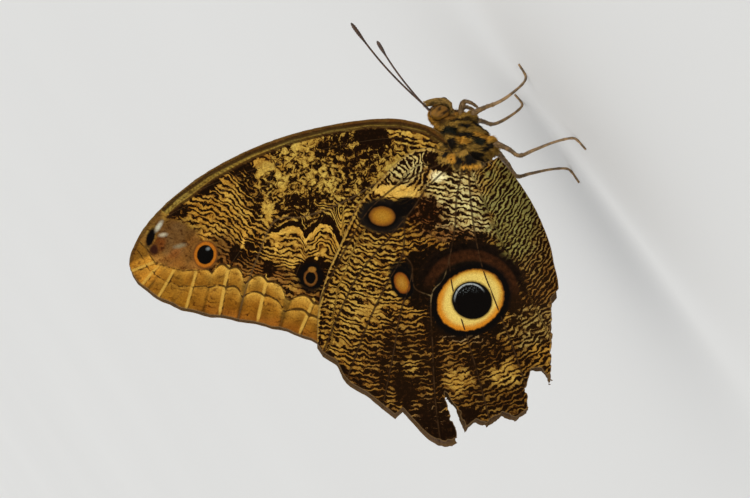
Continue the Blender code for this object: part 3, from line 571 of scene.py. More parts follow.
def line_field(points, line):
    """Distance of points to a line in the plane, how far along it, and the side."""
    line = np.array(line, float)
    best, which, where = nearest(points, line)
    steps = np.diff(line, axis=0)
    lengths = np.hypot(*steps.T)
    along = (np.cumsum(lengths) - lengths)[which] + where * lengths[which]
    away = points - line[which]
    return best, along, steps[which, 0] * away[:, 1] - steps[which, 1] * away[:, 0]


def line_reach(places, line):
    """Distance of places to a line in space, and the line's direction there."""
    line = np.array(line, float)
    best, which, _ = nearest(places, line)
    return best, unit(np.diff(line, axis=0))[which]


def unit(vectors):
    """The same directions, each of length 1."""
    return vectors / np.maximum(np.linalg.norm(vectors, axis=1), 1e-9)[:, None]


def catmull(quad, share):
    """A point between the middle two of four points, on a smooth curve through them."""
    a, b, c, d = quad
    return 0.5 * (2.0 * b + (c - a) * share + (2.0 * a - 5.0 * b + 4.0 * c - d) * share ** 2
                  + (3.0 * b - a - 3.0 * c + d) * share ** 3)


def smooth_line(points, step):
    """Points about one step apart on a smooth curve through the given ones."""
    points = [np.array(p, float) for p in points]
    padded = [points[0]] + points + [points[-1]]
    line = [points[0]]
    for index in range(1, len(padded) - 2):
        quad = padded[index - 1:index + 3]
        parts = max(1, round(float(np.linalg.norm(quad[2] - quad[1])) / step))
        line += [catmull(quad, (k + 1) / parts) for k in range(parts)]
    return np.array(line)


def rim_of(node, side):
    """The outline of a wing's outward face, read from its solid, in the body's plane."""
    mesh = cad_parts[node].data
    mesh.calc_loop_triangles()
    used = {}
    for triangle in mesh.loop_triangles:
        if triangle.normal.y * side >= OUTWARD:
            places = [(mesh.vertices[index].co - THORAX) / MM for index in triangle.vertices]
            corners = [(round(place.x, 3), round(place.z, 3)) for place in places]
            used.update(dict.fromkeys(zip(corners, corners[1:] + corners[:1])))
    follows = {start: end for start, end in used if (end, start) not in used}
    loops = []
    while follows:
        start, here = follows.popitem()
        loop = [start]
        while here != start and here in follows:
            loop.append(here)
            here = follows.pop(here)
        loops.append(loop)
    return max(loops, key=len)


def fine_rim(rim):
    """A smoother outline through the same points, its sharp corners kept."""
    points = [np.array(rim[0], float)]
    for spot in rim[1:]:
        if np.linalg.norm(np.array(spot) - points[-1]) > RIM_GAP:
            points.append(np.array(spot, float))
    count = len(points)
    sharp = []
    for index in range(count):
        before = points[index] - points[index - 1]
        after = points[(index + 1) % count] - points[index]
        even = float(before @ after / (np.linalg.norm(before) * np.linalg.norm(after)))
        sharp.append(math.degrees(math.acos(max(-1.0, min(1.0, even)))) > RIM_CORNER)
    fine = []
    for index in range(count):
        start, end = points[index], points[(index + 1) % count]
        before = start if sharp[index] else points[index - 1]
        after = end if sharp[(index + 1) % count] else points[(index + 2) % count]
        parts = max(1, round(float(np.linalg.norm(end - start)) / RIM_STEP))
        fine += [catmull((before, start, end, after), k / parts) for k in range(parts)]
    return np.array(fine)


def inside(points, loop):
    """True where a point lies within a closed outline, for arrays."""
    hit = np.zeros(len(points), bool)
    ends = np.roll(loop, -1, axis=0)
    for (x0, z0), (x1, z1) in zip(loop, ends):
        crosses = (z0 > points[:, 1]) != (z1 > points[:, 1])
        if abs(z1 - z0) > 1e-12:
            reach = x0 + (points[:, 1] - z0) * (x1 - x0) / (z1 - z0)
            hit ^= crosses & (points[:, 0] < reach)
    return hit


def abdomen_height(x):
    """How high the abdomen's middle line runs, over the middle of the thorax."""
    back = np.maximum(0.0, (ABDOMEN_FRONT - x) / ABDOMEN_LENGTH)
    return ABDOMEN_RISE * back ** 1.3 - 0.2


def wing_surface(x, z, layer):
    """Distance of a wing's middle surface from the middle plane, as in the solids."""
    flare = ROOT_FLARE * fade(z, FLARE_FOOT, FLARE_FOOT + FLARE_HEIGHT)
    away = layer + flare + TIP_SPREAD * (np.hypot(x, z) / WING_LENGTH) ** 2
    if layer == HINDWING_LAYER:
        up = z - abdomen_height(x)
        away = away + ABDOMEN_ROOM * fade(up, 0.5, 5.0) - 0.05 * np.minimum(up, 0.0) ** 2
    return away


def picture_plane(places):
    """Across and down on the picture plane, in millimetres, of places in the body's frame."""
    seen = places.copy()
    seen[:, 1] = -np.abs(seen[:, 1])
    return np.stack([seen @ np.array(RIGHT), seen @ np.array(DOWN)], axis=1)


def wing_points(rim, veins):
    """The outline, the veins and an even field of points, triangulated."""
    points = [Vector(p) for p in rim]
    edges = [(k, (k + 1) % len(points)) for k in range(len(points))]
    for vein in veins:
        ahead = np.gradient(vein, axis=0)
        across = np.stack([-ahead[:, 1], ahead[:, 0]], axis=1)
        across /= np.linalg.norm(across, axis=1)[:, None]
        for offset in (-VEIN_FOOT, 0.0, VEIN_FOOT):
            first = len(points)
            points += [Vector(p) for p in vein + across * offset]
            edges += [(k, k + 1) for k in range(first, len(points) - 1)]
    lowest, highest = rim.min(axis=0), rim.max(axis=0)
    rows = np.arange(lowest[1], highest[1], WING_MESH * 0.866)
    columns = np.arange(lowest[0], highest[0], WING_MESH)
    field = np.array([(x + WING_MESH * 0.5 * (k % 2), z)
                      for k, z in enumerate(rows) for x in columns])
    field = field[inside(field, rim)]
    away = np.min([line_field(field, v)[0] for v in veins], axis=0)
    edge = line_field(field, np.vstack([rim, rim[:1]]))[0]
    field = field[(away > VEIN_FOOT + VEIN_CLEAR) & (edge > RIM_CLEAR)]
    points += [Vector(p) for p in field]
    flat, _, faces, _, _, _ = delaunay_2d_cdt(points, edges, [], 0, 0.02)
    flat = np.array(flat)
    faces = np.array(faces)
    middle = flat[faces].mean(axis=1)
    return flat, faces[inside(middle, rim)]


def paint(plane, base, patches, wobble):
    """Lay soft-edged oval patches over a base value or colour."""
    value = np.array(base, float) * np.ones((len(plane), 1))
    for *mark, blur, goal, strength in patches:
        cover = strength * fade(oval(plane, mark) + wobble, 1.0 - blur, 1.0 + blur)
        lay(value, np.array(goal, float), cover)
    return value


def oval(plane, mark):
    """Distance from an oval's middle, 1 on its edge."""
    across, down, long, short, turn = mark
    angle = math.radians(turn)
    right = plane[:, 0] - across
    below = plane[:, 1] - down
    u = (right * math.cos(angle) + below * math.sin(angle)) / long
    v = (below * math.cos(angle) - right * math.sin(angle)) / short
    return np.hypot(u, v)


def named(patches, colours):
    """Patches with their colour names looked up."""
    return [(*p[:6], tuple(getattr(colours, p[6])), p[7]) for p in patches]


def straight_lie(plane, degrees):
    """Ripple coordinates for ripples that run at one angle, down to the right."""
    angle = np.radians(degrees)
    across = plane[:, 1] * np.cos(angle) - plane[:, 0] * np.sin(angle)
    along = plane[:, 0] * np.cos(angle) + plane[:, 1] * np.sin(angle)
    return np.stack([across, along], axis=1)


def ring_lie(plane, centre):
    """Ripple coordinates for ripples in circles about a centre."""
    step = plane - np.array(centre)
    reach = np.hypot(step[:, 0], step[:, 1])
    turn = np.arctan2(step[:, 1], step[:, 0])
    return np.stack([reach, turn * np.maximum(reach, 4.0)], axis=1)


def worn(rim, side):
    """A wing's outline with small tears and chips where the photo's wing is ragged."""
    closed = np.vstack([rim, rim[:1]])
    run = np.concatenate([[0.0], np.cumsum(np.hypot(*np.diff(closed, axis=0).T))[:-1]])
    track = np.stack([run, np.zeros(len(run))], axis=1)
    ahead = np.roll(rim, -1, axis=0) - np.roll(rim, 1, axis=0)
    inward = np.stack([-ahead[:, 1], ahead[:, 0]], axis=1)
    inward /= np.maximum(np.hypot(*inward.T), 1e-9)[:, None]
    probe = rim + inward * 0.3
    inward[~inside(probe, rim)] *= -1.0
    plane = picture_plane(np.stack([rim[:, 0], np.full(len(rim), side), rim[:, 1]], axis=1))
    where = smooth(plane[:, 1], WEAR_DOWN, WEAR_DOWN + 3.0) * smooth(plane[:, 0], WEAR_ACROSS,
                                                                     WEAR_ACROSS + 4.0)
    chips = smooth(cloud(track, 1.1, 15), 0.45, 0.95) + 0.5 * cloud(track, 0.45, 16)
    depth = RIM_WEAR * (0.12 + 0.88 * where) * chips
    return rim + inward * depth[:, None]


def hindwing_fields(plane, sizes, colours):
    """Everything that the hindwing's underside is painted from, at each point."""
    wobble = 0.5 * (cloud(plane, 1.7, 3) - 0.5) + 0.3 * (cloud(plane, 0.7, 4) - 0.5)
    dusky = np.array(colours.tan) * (0.84, 0.82, 0.82)
    ground = paint(plane, dusky, named(HIND_GROUND, colours), wobble)
    cover = paint(plane, 0.52, HIND_COVER, wobble)[:, 0]
    ink = paint(plane, tuple(colours.ink), named(HIND_INK, colours), wobble)
    front, along_front, _ = line_field(plane, HIND_FRONT)
    rim = line_field(plane, HIND_RIM)[0]
    edge = fade(rim, 0.3, 1.2)
    lay(cover, 0.70, edge)
    lay(ground, np.array(colours.umber), edge)

    # How the ripples lie: in circles, but slanted in the fold and nearly level near the root
    lie = ring_lie(plane, (-15.3, 5.2))
    spacing = np.full(len(plane), 0.9 * sizes.ripple / MM)
    _, _, side = line_field(plane, FOLD_LINE)
    fold = side < 0.0
    slanted = straight_lie(plane, -58.0)
    upper = fade(plane[:, 1], 10.0, 24.0)
    lie[fold] += ((slanted + (10.3, 0.0) - lie) * upper[:, None])[fold]
    spacing[fold] = 0.80
    pale = (oval(plane, (-2.0, 13.6, 8.0, 7.6, 0)) < 1.0) & ~fold
    lie[pale] = straight_lie(plane[pale], 12.0)
    spacing[pale] = 1.05
    ladder = (front < 3.0) & (plane[:, 0] < -6.0)
    lie[ladder] = np.stack([along_front, front], axis=1)[ladder]
    spacing[ladder] = 1.12

    # The pale and the dark line along the front edge
    margin_line = fade(front, 0.16, 0.34) * (plane[:, 0] < -4.0)
    lay(ground, np.array(colours.gold) * 0.8, margin_line)
    cover *= 1.0 - margin_line
    dark_line = np.exp(-((front - 0.48) / 0.14) ** 2) * (plane[:, 0] < -4.0)
    lay(cover, 1.0, dark_line * 0.8)
    blotch = 0.55 * fade(oval(plane, (-8.4, 14.9, 5.0, 4.4, 20)), 0.7, 1.2)
    mild = 0.30 * smooth(cloud(plane, 5.0, 9), 0.4, 0.8)
    return {"lie": lie / spacing[:, None], "ground": varied(plane, ground), "ink": ink,
            "cover": cover, "blotch": np.maximum(blotch, mild), "line": np.full(len(plane), FAR),
            "streak": np.full(len(plane), FAR)}


def varied(plane, ground):
    """Let the ground drift between orange-brown and straw over a few millimetres."""
    drift = (0.6 * cloud(plane, 2.6, 41) + 0.4 * cloud(plane, 1.1, 42))[:, None]
    return ground * (np.array([0.84, 0.70, 0.50]) + np.array([0.34, 0.58, 0.95]) * drift)


def arch_line(plane):
    """How far down the black arches run at each place across, and half their thickness."""
    down = np.zeros(len(plane))
    thick = np.zeros(len(plane))
    for index, arch in enumerate(ARCHES):
        middle, top, drop_left, reach_left, drop_right, reach_right, thin, wide = arch
        step = plane[:, 0] - middle
        line = top + drop_left * smooth(-step, 0.3, reach_left) + drop_right * smooth(
            step, 0.8, reach_right)
        half = thin + (wide - thin) * smooth(step, -0.6, 1.6)
        here = (plane[:, 0] > ARCH_SPLIT) == (index == 0)
        down[here] = line[here]
        thick[here] = half[here]
    return down, thick


def forewing_fields(plane, sizes, colours):
    """Everything that the forewing's underside is painted from, at each point."""
    wobble = 0.5 * (cloud(plane, 1.9, 5) - 0.5) + 0.3 * (cloud(plane, 0.8, 6) - 0.5)
    ground = paint(plane, tuple(colours.tan), named(FORE_GROUND, colours), wobble)
    cover = paint(plane, 0.44, FORE_COVER, wobble)[:, 0]
    ink = paint(plane, tuple(colours.ink), named(FORE_INK, colours), wobble)
    blotch = paint(plane, 0.0, FORE_BLOTCH, wobble)[:, 0]
    lie = straight_lie(plane, 13.0)
    field = smooth(plane[:, 1], 3.0, 6.0) * fade(plane[:, 1], 23.0, 29.0)
    lie[:, 0] -= 2.7 * np.tanh((plane[:, 0] + 47.5) / 3.6) * field
    low_field = smooth(plane[:, 1], 12.5, 14.5) * fade(plane[:, 1], 21.0, 27.0)
    arch, wide = arch_line(plane)
    within = (smooth(plane[:, 0], ARCH_LEFT - 0.6, ARCH_LEFT + 0.4)
              * fade(plane[:, 0], ARCH_RIGHT - 0.3, ARCH_RIGHT + 0.3))
    lie[:, 0] -= (arch - ARCH_LEVEL) * low_field * within

    # The two black arches, each with a pale line under it
    under = plane[:, 1] - arch + 0.5 * (cloud(plane, 0.9, 18) - 0.5)
    black = fade(np.abs(under), wide - 0.15, wide + 0.2) * within
    lay(cover, 1.75, black)
    tan = smooth(under, wide, wide + 0.3) * fade(under, wide + 1.1, wide + 1.4) * within
    lay(cover, 0.02, tan)
    lay(ground, np.array(colours.margin_light) * 0.92, 0.7 * tan)
    blotch *= 1.0 - np.maximum(black, tan)

    # The rim's arches: two rows of lines, a streak in each arch and the light inside them
    rim, along, _ = line_field(plane, TERMEN)
    ends = np.cumsum([0.0] + [math.dist(a, b) for a, b in zip(TERMEN, TERMEN[1:])])
    cell = np.clip(np.searchsorted(ends, along, side="right") - 1, 0, len(ends) - 2)
    width = (ends[1:] - ends[:-1])[cell]
    share = (along - ends[cell]) / width
    wave = (0.72 * np.abs(np.sin(math.pi * share)) ** 0.7
            + 0.34 * np.abs(np.sin(2.0 * math.pi * share)))
    uneven = 0.5 * (cloud(plane, 1.6, 8) - 0.5)
    inner = np.interp(along, RIM_ALONG, INNER_FEET) + uneven
    inner += np.interp(along, RIM_ALONG, INNER_RISE) * wave
    outer = np.interp(along, RIM_ALONG, OUTER_FEET) + uneven
    outer += np.interp(along, RIM_ALONG, OUTER_RISE) * wave
    rear = smooth(along, 15.0, 22.0)
    band = fade(rim - inner, -0.08, 0.10)
    light = np.exp(-np.maximum(inner - rim, 0.0) / 1.35)
    light = np.where(rim < outer, 0.66 * np.exp(-np.maximum(outer - rim, 0.0) / 1.2), light)
    light = np.clip(light * (0.40 + 0.60 * rear), 0.0, 1.0)
    gold, bright = np.array(colours.margin), np.array(colours.margin_light)
    tone = gold + (bright - gold) * light[:, None]
    deep = fade(rim, 0.3, 3.0) * rear * (0.5 + 0.5 * cloud(plane, 2.5, 13))
    lay(tone, np.array(colours.sienna) * 1.15, 0.55 * deep)
    tip = 0.7 * fade(along, 4.0, 12.0)
    lay(tone, np.array(colours.margin_light) * (0.72, 0.53, 0.34), tip)
    tone *= (0.72 + 0.56 * cloud(plane, 1.5, 12))[:, None]
    cross = 1.0 - 0.60 * fade(np.minimum(share, 1.0 - share) * width, 0.12, 0.55)
    tone *= cross[:, None]
    above = fade(np.abs(rim - inner - 1.1), 0.5, 1.7) * (1.0 - band)
    brown = np.array(colours.smoke) * (1.5, 1.4, 1.2)
    lay(ground, brown, 0.75 * above)
    smoky = oval(plane, (-60.0, 22.0, 10.0, 6.4, 36)) < 1.0
    bars = 1.0 + 0.30 * np.cos(2.0 * math.pi * (share - 0.46)) * smooth(rim, 1.0, 4.0)
    ground *= np.where(smoky, bars, 1.0)[:, None]
    lay(ground, tone, band)
    cover *= 1.0 - band
    blotch *= 1.0 - band
    line = np.minimum(np.abs(rim - inner), np.abs(rim - outer) * 1.25) + 0.16 * (1.0 - rear)
    line[rim > inner + 1.0] = FAR
    streak = np.abs(share - 0.46) * width
    streak += (FAR * (rim > inner + 0.9 * rear) - 0.08 * rear
               + 0.18 * fade(rim, 0.2, 1.4) * rear)
    shadow = np.abs(share - 0.46 - 0.42 / width) * width + FAR * (rim > inner + 0.3)
    line = np.minimum(line, shadow + 0.08 + 0.25 * cloud(plane, 0.8, 19))

    # The leading edge: a brown band, a gilt band with pleats and a line at each side of it
    costa, along_costa, _ = line_field(plane, COSTA)
    near = along_costa < 66.0
    wide = np.interp(along_costa, (0.0, 35.0, 50.0, 60.0, 70.0), (0.45, 0.55, 1.0, 1.35, 0.9))
    start = np.interp(along_costa, (0.0, 35.0, 55.0, 70.0), (0.95, 0.90, 0.65, 0.45))
    brown = fade(costa - start, 0.0, 0.25)
    edge = fade(costa, 0.10, 0.35)
    ribbed = 0.7 + 0.6 * cloud(np.stack([along_costa * 0.12, costa], axis=1), 0.28, 14)
    costal = np.array(colours.costal) * ribbed[:, None]
    lay(costal, np.array(colours.bronze) * 0.6, edge)
    lay(ground, costal, brown)
    lit = fade(np.abs(costa - start - wide / 2.0), wide / 2.0, wide / 2.0 + 0.2) * near
    pleats = 0.5 + 0.5 * np.cos(2.0 * math.pi * (costa - start) / 0.62)
    gilt = np.array(colours.olive) * (0.17 + 0.42 * pleats * ribbed)[:, None]
    lay(ground, gilt, lit)
    clear = fade(costa - wide - start, 0.20, 0.50)
    cover *= 1.0 - clear
    blotch *= 1.0 - clear
    line = np.minimum(line, np.abs(costa - start) + FAR * ~near)
    line = np.minimum(line, np.abs(costa - start - 0.35 - wide) + FAR * ~near)
    return {"lie": lie / (sizes.ripple / MM), "ground": varied(plane, ground), "ink": ink,
            "cover": cover, "blotch": blotch, "line": line, "streak": streak}


def read(items, name, width, kind=np.float32):
    """One property of all a mesh's items, as an array."""
    values = np.zeros(len(items) * width, kind)
    items.foreach_get(name, values)
    return values.reshape(-1, width) if width > 1 else values


def set_fields(mesh, **fields):
    """Store values, vectors and colours for each vertex, by the names that the materials read."""
    for name, values in fields.items():
        kind, key, width = "FLOAT_VECTOR", "vector", 3
        if values.ndim == 1:
            kind, key, width = "FLOAT", "value", 1
            values = values[:, None]
        elif name in ("ground", "ink"):
            kind, key, width = "FLOAT_COLOR", "color", 4
        wide = np.full((len(values), width), 1.0 if width == 4 else 0.0, np.float32)
        wide[:, :values.shape[1]] = values
        mesh.attributes.new(name, kind, "POINT").data.foreach_set(key, wide.ravel())


def new_mesh(name, places, faces):
    """A mesh from places in millimetres, counted from the middle of the thorax."""
    mesh = bpy.data.meshes.new(name)
    mesh.from_pydata((places * MM + np.array(THORAX)).tolist(), [], faces.tolist())
    mesh.update()
    return mesh


def select_only(piece):
    """Select one piece and make it the active one."""
    bpy.ops.object.select_all(action="DESELECT")
    bpy.context.view_layer.objects.active = piece
    piece.select_set(True)


def edit_whole(*steps):
    """Run steps of the mesh editor, each with its settings, on all of the active piece."""
    bpy.ops.object.mode_set(mode="EDIT")
    bpy.ops.mesh.select_all(action="SELECT")
    for step, settings in steps:
        step(**settings)
    bpy.ops.object.mode_set(mode="OBJECT")


def apply_modifier(piece, kind, **settings):
    """Add one modifier to a piece and apply it."""
    made = piece.modifiers.new(kind.lower(), kind)
    for name, value in settings.items():
        setattr(made, name, value)
    select_only(piece)
    bpy.ops.object.modifier_apply(modifier=made.name)


def unwrap(piece):
    """Lay a piece's faces out flat on the map named OFBake."""
    piece.data.uv_layers.new(name="OFBake")
    select_only(piece)
    edit_whole((bpy.ops.uv.smart_project,
                {"angle_limit": math.radians(75.0), "island_margin": 0.002}))


def wing_piece(node, vein_lines, dark, layer, side, fields, under, upper):
    """One wing as a thin fluted sheet, coloured below and plain above."""
    sizes = bpy.context.scene.wing_sizes
    rim = worn(fine_rim(rim_of(node, side)), side)
    veins = [smooth_line(v, VEIN_STEP) for v in vein_lines]
    flat, faces = wing_points(rim, veins)
    used, faces = np.unique(faces, return_inverse=True)
    faces = faces.reshape(-1, 3)
    flat = flat[used]
    x, z = flat.T
    gaps = np.array([line_field(flat, v)[0] for v in veins])
    vein = gaps.min(axis=0)
    faint = np.array([0.0 if index in dark else FAINT for index in range(len(veins))])
    drawn = (gaps + faint[:, None]).min(axis=0)
    relief = (sizes.vein_relief * np.exp(-(vein / 0.17) ** 2)
              + sizes.pleat * np.exp(-(vein / 1.1) ** 2)
              + sizes.flutter * 2.0 * (cloud(flat, 9.0, 1) - 0.5)) / MM
    places = np.stack([x, side * (wing_surface(x, z, layer) + relief), z], axis=1)
    plane = picture_plane(places)
    mesh = new_mesh(node + "_sheet", places, faces)
    values = fields(plane, sizes, bpy.context.scene.wing_colours)
    marks = np.stack([drawn, values.pop("line"), values.pop("streak")], axis=1)
    edge = line_field(flat, np.vstack([rim, rim[:1]]))[0]
    set_fields(mesh, plane=plane, marks=marks, edge=edge, **values)
    piece = new_piece(node + "_scaled", mesh)
    mesh.materials.append(under)
    mesh.materials.append(upper)
    select_only(piece)
    edit_whole((bpy.ops.mesh.normals_make_consistent, {"inside": False}))
    if mesh.polygons[len(mesh.polygons) // 2].normal.y * side < 0.0:
        mesh.flip_normals()
    apply_modifier(piece, "SOLIDIFY", thickness=MEMBRANE * MM, offset=0.0, use_even_offset=False,
                   material_offset=1, material_offset_rim=0)
    bpy.ops.object.shade_smooth_by_angle(angle=SMOOTH_ANGLE)
    wing_map(mesh)
    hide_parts(node)


def both_wings(name, vein_lines, dark, layer, fields, under):
    """The right and the left wing of one pair."""
    upper = wing_upperside()
    for word, side in SIDES:
        wing_piece(name + word, vein_lines, dark, layer, side, fields, under, upper)


def wing_map(mesh):
    """An unwrap of the wing: the two faces side by side, flat."""
    spots = read(mesh.vertices, "co", 3)[:, [0, 2]]
    lowest = spots.min(axis=0)
    reach = (spots.max(axis=0) - lowest).max()
    corners = read(mesh.loops, "vertex_index", 1, np.int32)
    where = (spots[corners] - lowest) / reach * (0.47, 0.97) + 0.015
    inner = read(mesh.polygons, "material_index", 1, np.int32)
    totals = read(mesh.polygons, "loop_total", 1, np.int32)
    where[np.repeat(inner, totals) == 1, 0] += 0.5
    layer = mesh.uv_layers.new(name="OFBake")
    layer.data.foreach_set("uv", where.astype(np.float32).ravel())


class Nodes:
    """A material's nodes, one short call each."""

    def __init__(self, name):
        self.material = bpy.data.materials.new(name)
        self.material.use_nodes = True
        self.tree = self.material.node_tree
        self.shader = self.tree.nodes["Principled BSDF"]

    def put(self, socket, value):
        """Link a socket to another node's output, or set its own number or colour."""
        if isinstance(value, bpy.types.NodeSocket):
            self.tree.links.new(value, socket)
        elif socket.type == "RGBA" and len(value) == 3:
            socket.default_value = (*value, 1.0)
        else:
            socket.default_value = value

    def add(self, kind, inputs, **settings):
        """A new node with its settings, then its inputs by name or number."""
        node = self.tree.nodes.new("ShaderNode" + kind)
        for name, value in settings.items():
            setattr(node, name, value)
        for key, value in inputs.items():
            self.put(node.inputs[key], value)
        return node

    def maths(self, operation, *values):
        return self.add("Math", dict(enumerate(values)), operation=operation).outputs[0]

    def vector(self, operation, *values):
        node = self.add("VectorMath", dict(enumerate(values)), operation=operation)
        return node.outputs["Value" if operation in ("DOT_PRODUCT", "LENGTH") else "Vector"]

    def times(self, first, *others):
        """All the values multiplied."""
        for other in others:
            first = self.maths("MULTIPLY", first, other)
        return first

    def scaled(self, value, by, plus):
        return self.maths("MULTIPLY_ADD", value, by, plus)

    def near(self, value, goal, start, end):
        """1 where a value is within start of its goal, and 0 where it is past end."""
        gap = self.maths("ABSOLUTE", self.maths("SUBTRACT", value, goal))
        return self.below(gap, start, end)

    def away(self, plane, mark):
        """The step from a mark's middle to each place of the picture plane."""
        return self.vector("SUBTRACT", plane, (mark[0], mark[1], 0.0))

    def facing(self, step, heading):
        """How far a step points one way, from -1 to 1."""
        return self.vector("DOT_PRODUCT", self.vector("NORMALIZE", step), (*heading, 0.0))

    def mix(self, share, first, second, blend="MIX"):
        inputs = {"Factor": share, 6: first, 7: second}
        return self.add("Mix", inputs, data_type="RGBA", blend_type=blend).outputs[2]

    def lay(self, colour, goal, *shares):
        """A colour with another over it, as far as all the shares multiplied."""
        return self.mix(self.times(*shares), colour, goal)

    def blend(self, share, first, second):
        inputs = {"Factor": share, 2: first, 3: second}
        return self.add("Mix", inputs, data_type="FLOAT").outputs[0]

    def step(self, value, start, end):
        """0 under start and 1 over end."""
        inputs = {"Value": value, "From Min": start, "From Max": end}
        return self.add("MapRange", inputs, interpolation_type="SMOOTHSTEP").outputs["Result"]

    def below(self, value, start, end):
        """1 under start and 0 over end."""
        return self.maths("SUBTRACT", 1.0, self.step(value, start, end))

    def noise(self, vector, scale, detail=2.0, rough=0.5, swirl=0.0):
        inputs = {"Vector": vector, "Scale": scale, "Detail": detail, "Roughness": rough,
                  "Distortion": swirl}
        return self.add("TexNoise", inputs).outputs["Fac"]

    def cells(self, vector, scale):
        return self.add("TexVoronoi", {"Vector": vector, "Scale": scale}).outputs

    def field(self, name, output="Fac"):
        return self.add("Attribute", {}, attribute_name=name).outputs[output]

    def split(self, vector):
        return self.add("SeparateXYZ", {0: vector}).outputs

    def join(self, x, y):
        return self.add("CombineXYZ", {0: x, 1: y}).outputs[0]

    def place(self):
        return self.add("TexCoord", {}).outputs["Object"]

    def ramp(self, value, stops):
        """Colours along a value; a stop is a position and a colour with its strength."""
        node = self.add("ValToRGB", {0: value})
        band = node.color_ramp
        while len(band.elements) < len(stops):
            band.elements.new(1.0)
        for element, (position, colour) in zip(band.elements, stops):
            element.position = position
            element.color = colour if len(colour) == 4 else (*colour, 1.0)
        return node.outputs["Color"], node.outputs["Alpha"]

    def shaded(self, colour, value, stops):
        """A colour multiplied by the colours along a value."""
        return self.mix(1.0, colour, self.ramp(value, stops)[0], "MULTIPLY")

    def bump(self, height, distance, strength):
        node = self.add("Bump", {"Height": height, "Distance": distance, "Strength": strength})
        self.put(self.shader.inputs["Normal"], node.outputs[0])

    def finish(self, colour, roughness, specular):
        self.put(self.shader.inputs["Base Color"], colour)
        self.put(self.shader.inputs["Roughness"], roughness)
        self.shader.inputs["Specular IOR Level"].default_value = specular
        return self.material


def spot_distance(nodes, plane, mark, wobble=0.0):
    """Distance from a spot's middle on the picture plane, counted in its own half sizes."""
    _, _, long, short, turn = mark
    across, below = math.cos(math.radians(turn)), math.sin(math.radians(turn))
    step = nodes.away(plane, mark)
    u = nodes.vector("DOT_PRODUCT", step, (across / long, below / long, 0.0))
    v = nodes.vector("DOT_PRODUCT", step, (-below / short, across / short, 0.0))
    reach = nodes.vector("LENGTH", nodes.join(u, v))
    if wobble:
        ragged = nodes.maths("SUBTRACT", nodes.noise(plane, 1.1, 3.0), 0.5)
        reach = nodes.scaled(ragged, wobble, reach)
    return reach


def rings(nodes, colour, plane, mark, reach, stops, wobble):
    """Lay a spot's rings over a colour."""
    share = nodes.maths("DIVIDE", spot_distance(nodes, plane, mark, wobble), reach)
    ring, strength = nodes.ramp(share, [(place / reach, tone) for place, tone in stops])
    return nodes.lay(colour, ring, strength)


def glint(nodes, colour, plane, step, radius, turn, spread, tint):
    """A thin broken arc of light inside a spot, on the side that faces one way."""
    arc = nodes.near(nodes.vector("LENGTH", step), radius, 0.04, 0.27)
    ahead = nodes.facing(step, (math.cos(math.radians(turn)), math.sin(math.radians(turn))))
    side = nodes.step(ahead, math.cos(math.radians(spread)), math.cos(math.radians(spread * 0.4)))
    broken = nodes.step(nodes.noise(plane, 2.2, 3.0, 0.7), 0.26, 0.52)
    return nodes.lay(colour, tint, arc, side, broken)


def ripple_value(nodes, plane):
    """How far each place is on the dark side of the ripples and blotches."""
    parts = nodes.split(nodes.field("lie", "Vector"))
    drift = nodes.maths("SUBTRACT", nodes.noise(plane, 0.48, 3.0, 0.55), 0.5)
    across = nodes.scaled(drift, 3.0, parts[0])
    wave = nodes.maths("SINE", nodes.times(across, 2.0 * math.pi))
    stretched = nodes.join(nodes.times(across, 1.7), nodes.times(parts[1], 0.55))
    ragged = nodes.maths("SUBTRACT", nodes.noise(stretched, 1.0, 4.0, 0.62), 0.5)
    stripes = nodes.scaled(ragged, 3.9, nodes.times(wave, 0.56))
    mottle = nodes.maths("SUBTRACT", nodes.noise(plane, 0.82, 4.0, 0.70, 0.8), 0.5)
    pattern = nodes.blend(nodes.field("blotch"), stripes, nodes.times(mottle, 5.4))
    return nodes.maths("ADD", pattern, nodes.scaled(nodes.field("cover"), 2.3, -1.15))


def underside_base(nodes, plane):
    """Ground and ripples, the part that both wings share, and where the ripples are dark."""
    value = ripple_value(nodes, plane)
    ground = nodes.shaded(nodes.field("ground", "Color"), nodes.scaled(value, 0.5, 0.5), [
        (0.0, (1.40, 1.36, 1.16)), (0.24, (1.12, 1.09, 0.96)), (0.40, (0.78, 0.67, 0.52)),
        (0.50, (0.46, 0.30, 0.20))])
    ground = nodes.shaded(ground, nodes.noise(plane, 2.6, 3.0), [
        (0.25, (0.74, 0.68, 0.60)), (0.5, (0.98, 0.97, 0.95)), (0.75, (1.15, 1.15, 1.12))])
    warm = nodes.step(nodes.noise(plane, 1.3, 4.0, 0.65), 0.52, 0.70)
    ink = nodes.lay(nodes.field("ink", "Color"), (0.045, 0.016, 0.004), warm, 0.6)
    mask = nodes.step(value, -0.10, 0.20)
    return nodes.lay(ground, ink, mask), mask


def finish_wing(nodes, colour, plane, relief, fringe_reach=0.24):
    """Pale fringe at the rim, rows of scales and relief over a painted wing."""
    fringe = nodes.below(nodes.field("edge"), 0.06, fringe_reach)
    colour = nodes.lay(colour, (0.17, 0.098, 0.036), fringe, 0.65)
    scales = nodes.cells(plane, 6.5)
    tone = nodes.split(scales["Color"])[0]
    colour = nodes.shaded(colour, tone, [(0.0, (0.82, 0.81, 0.80)), (1.0, (1.15, 1.15, 1.14))])
    nodes.bump(nodes.scaled(scales["Distance"], -0.25, relief), 0.00006, 0.7)
    return nodes.finish(colour, nodes.scaled(tone, 0.16, 0.52), 0.02)


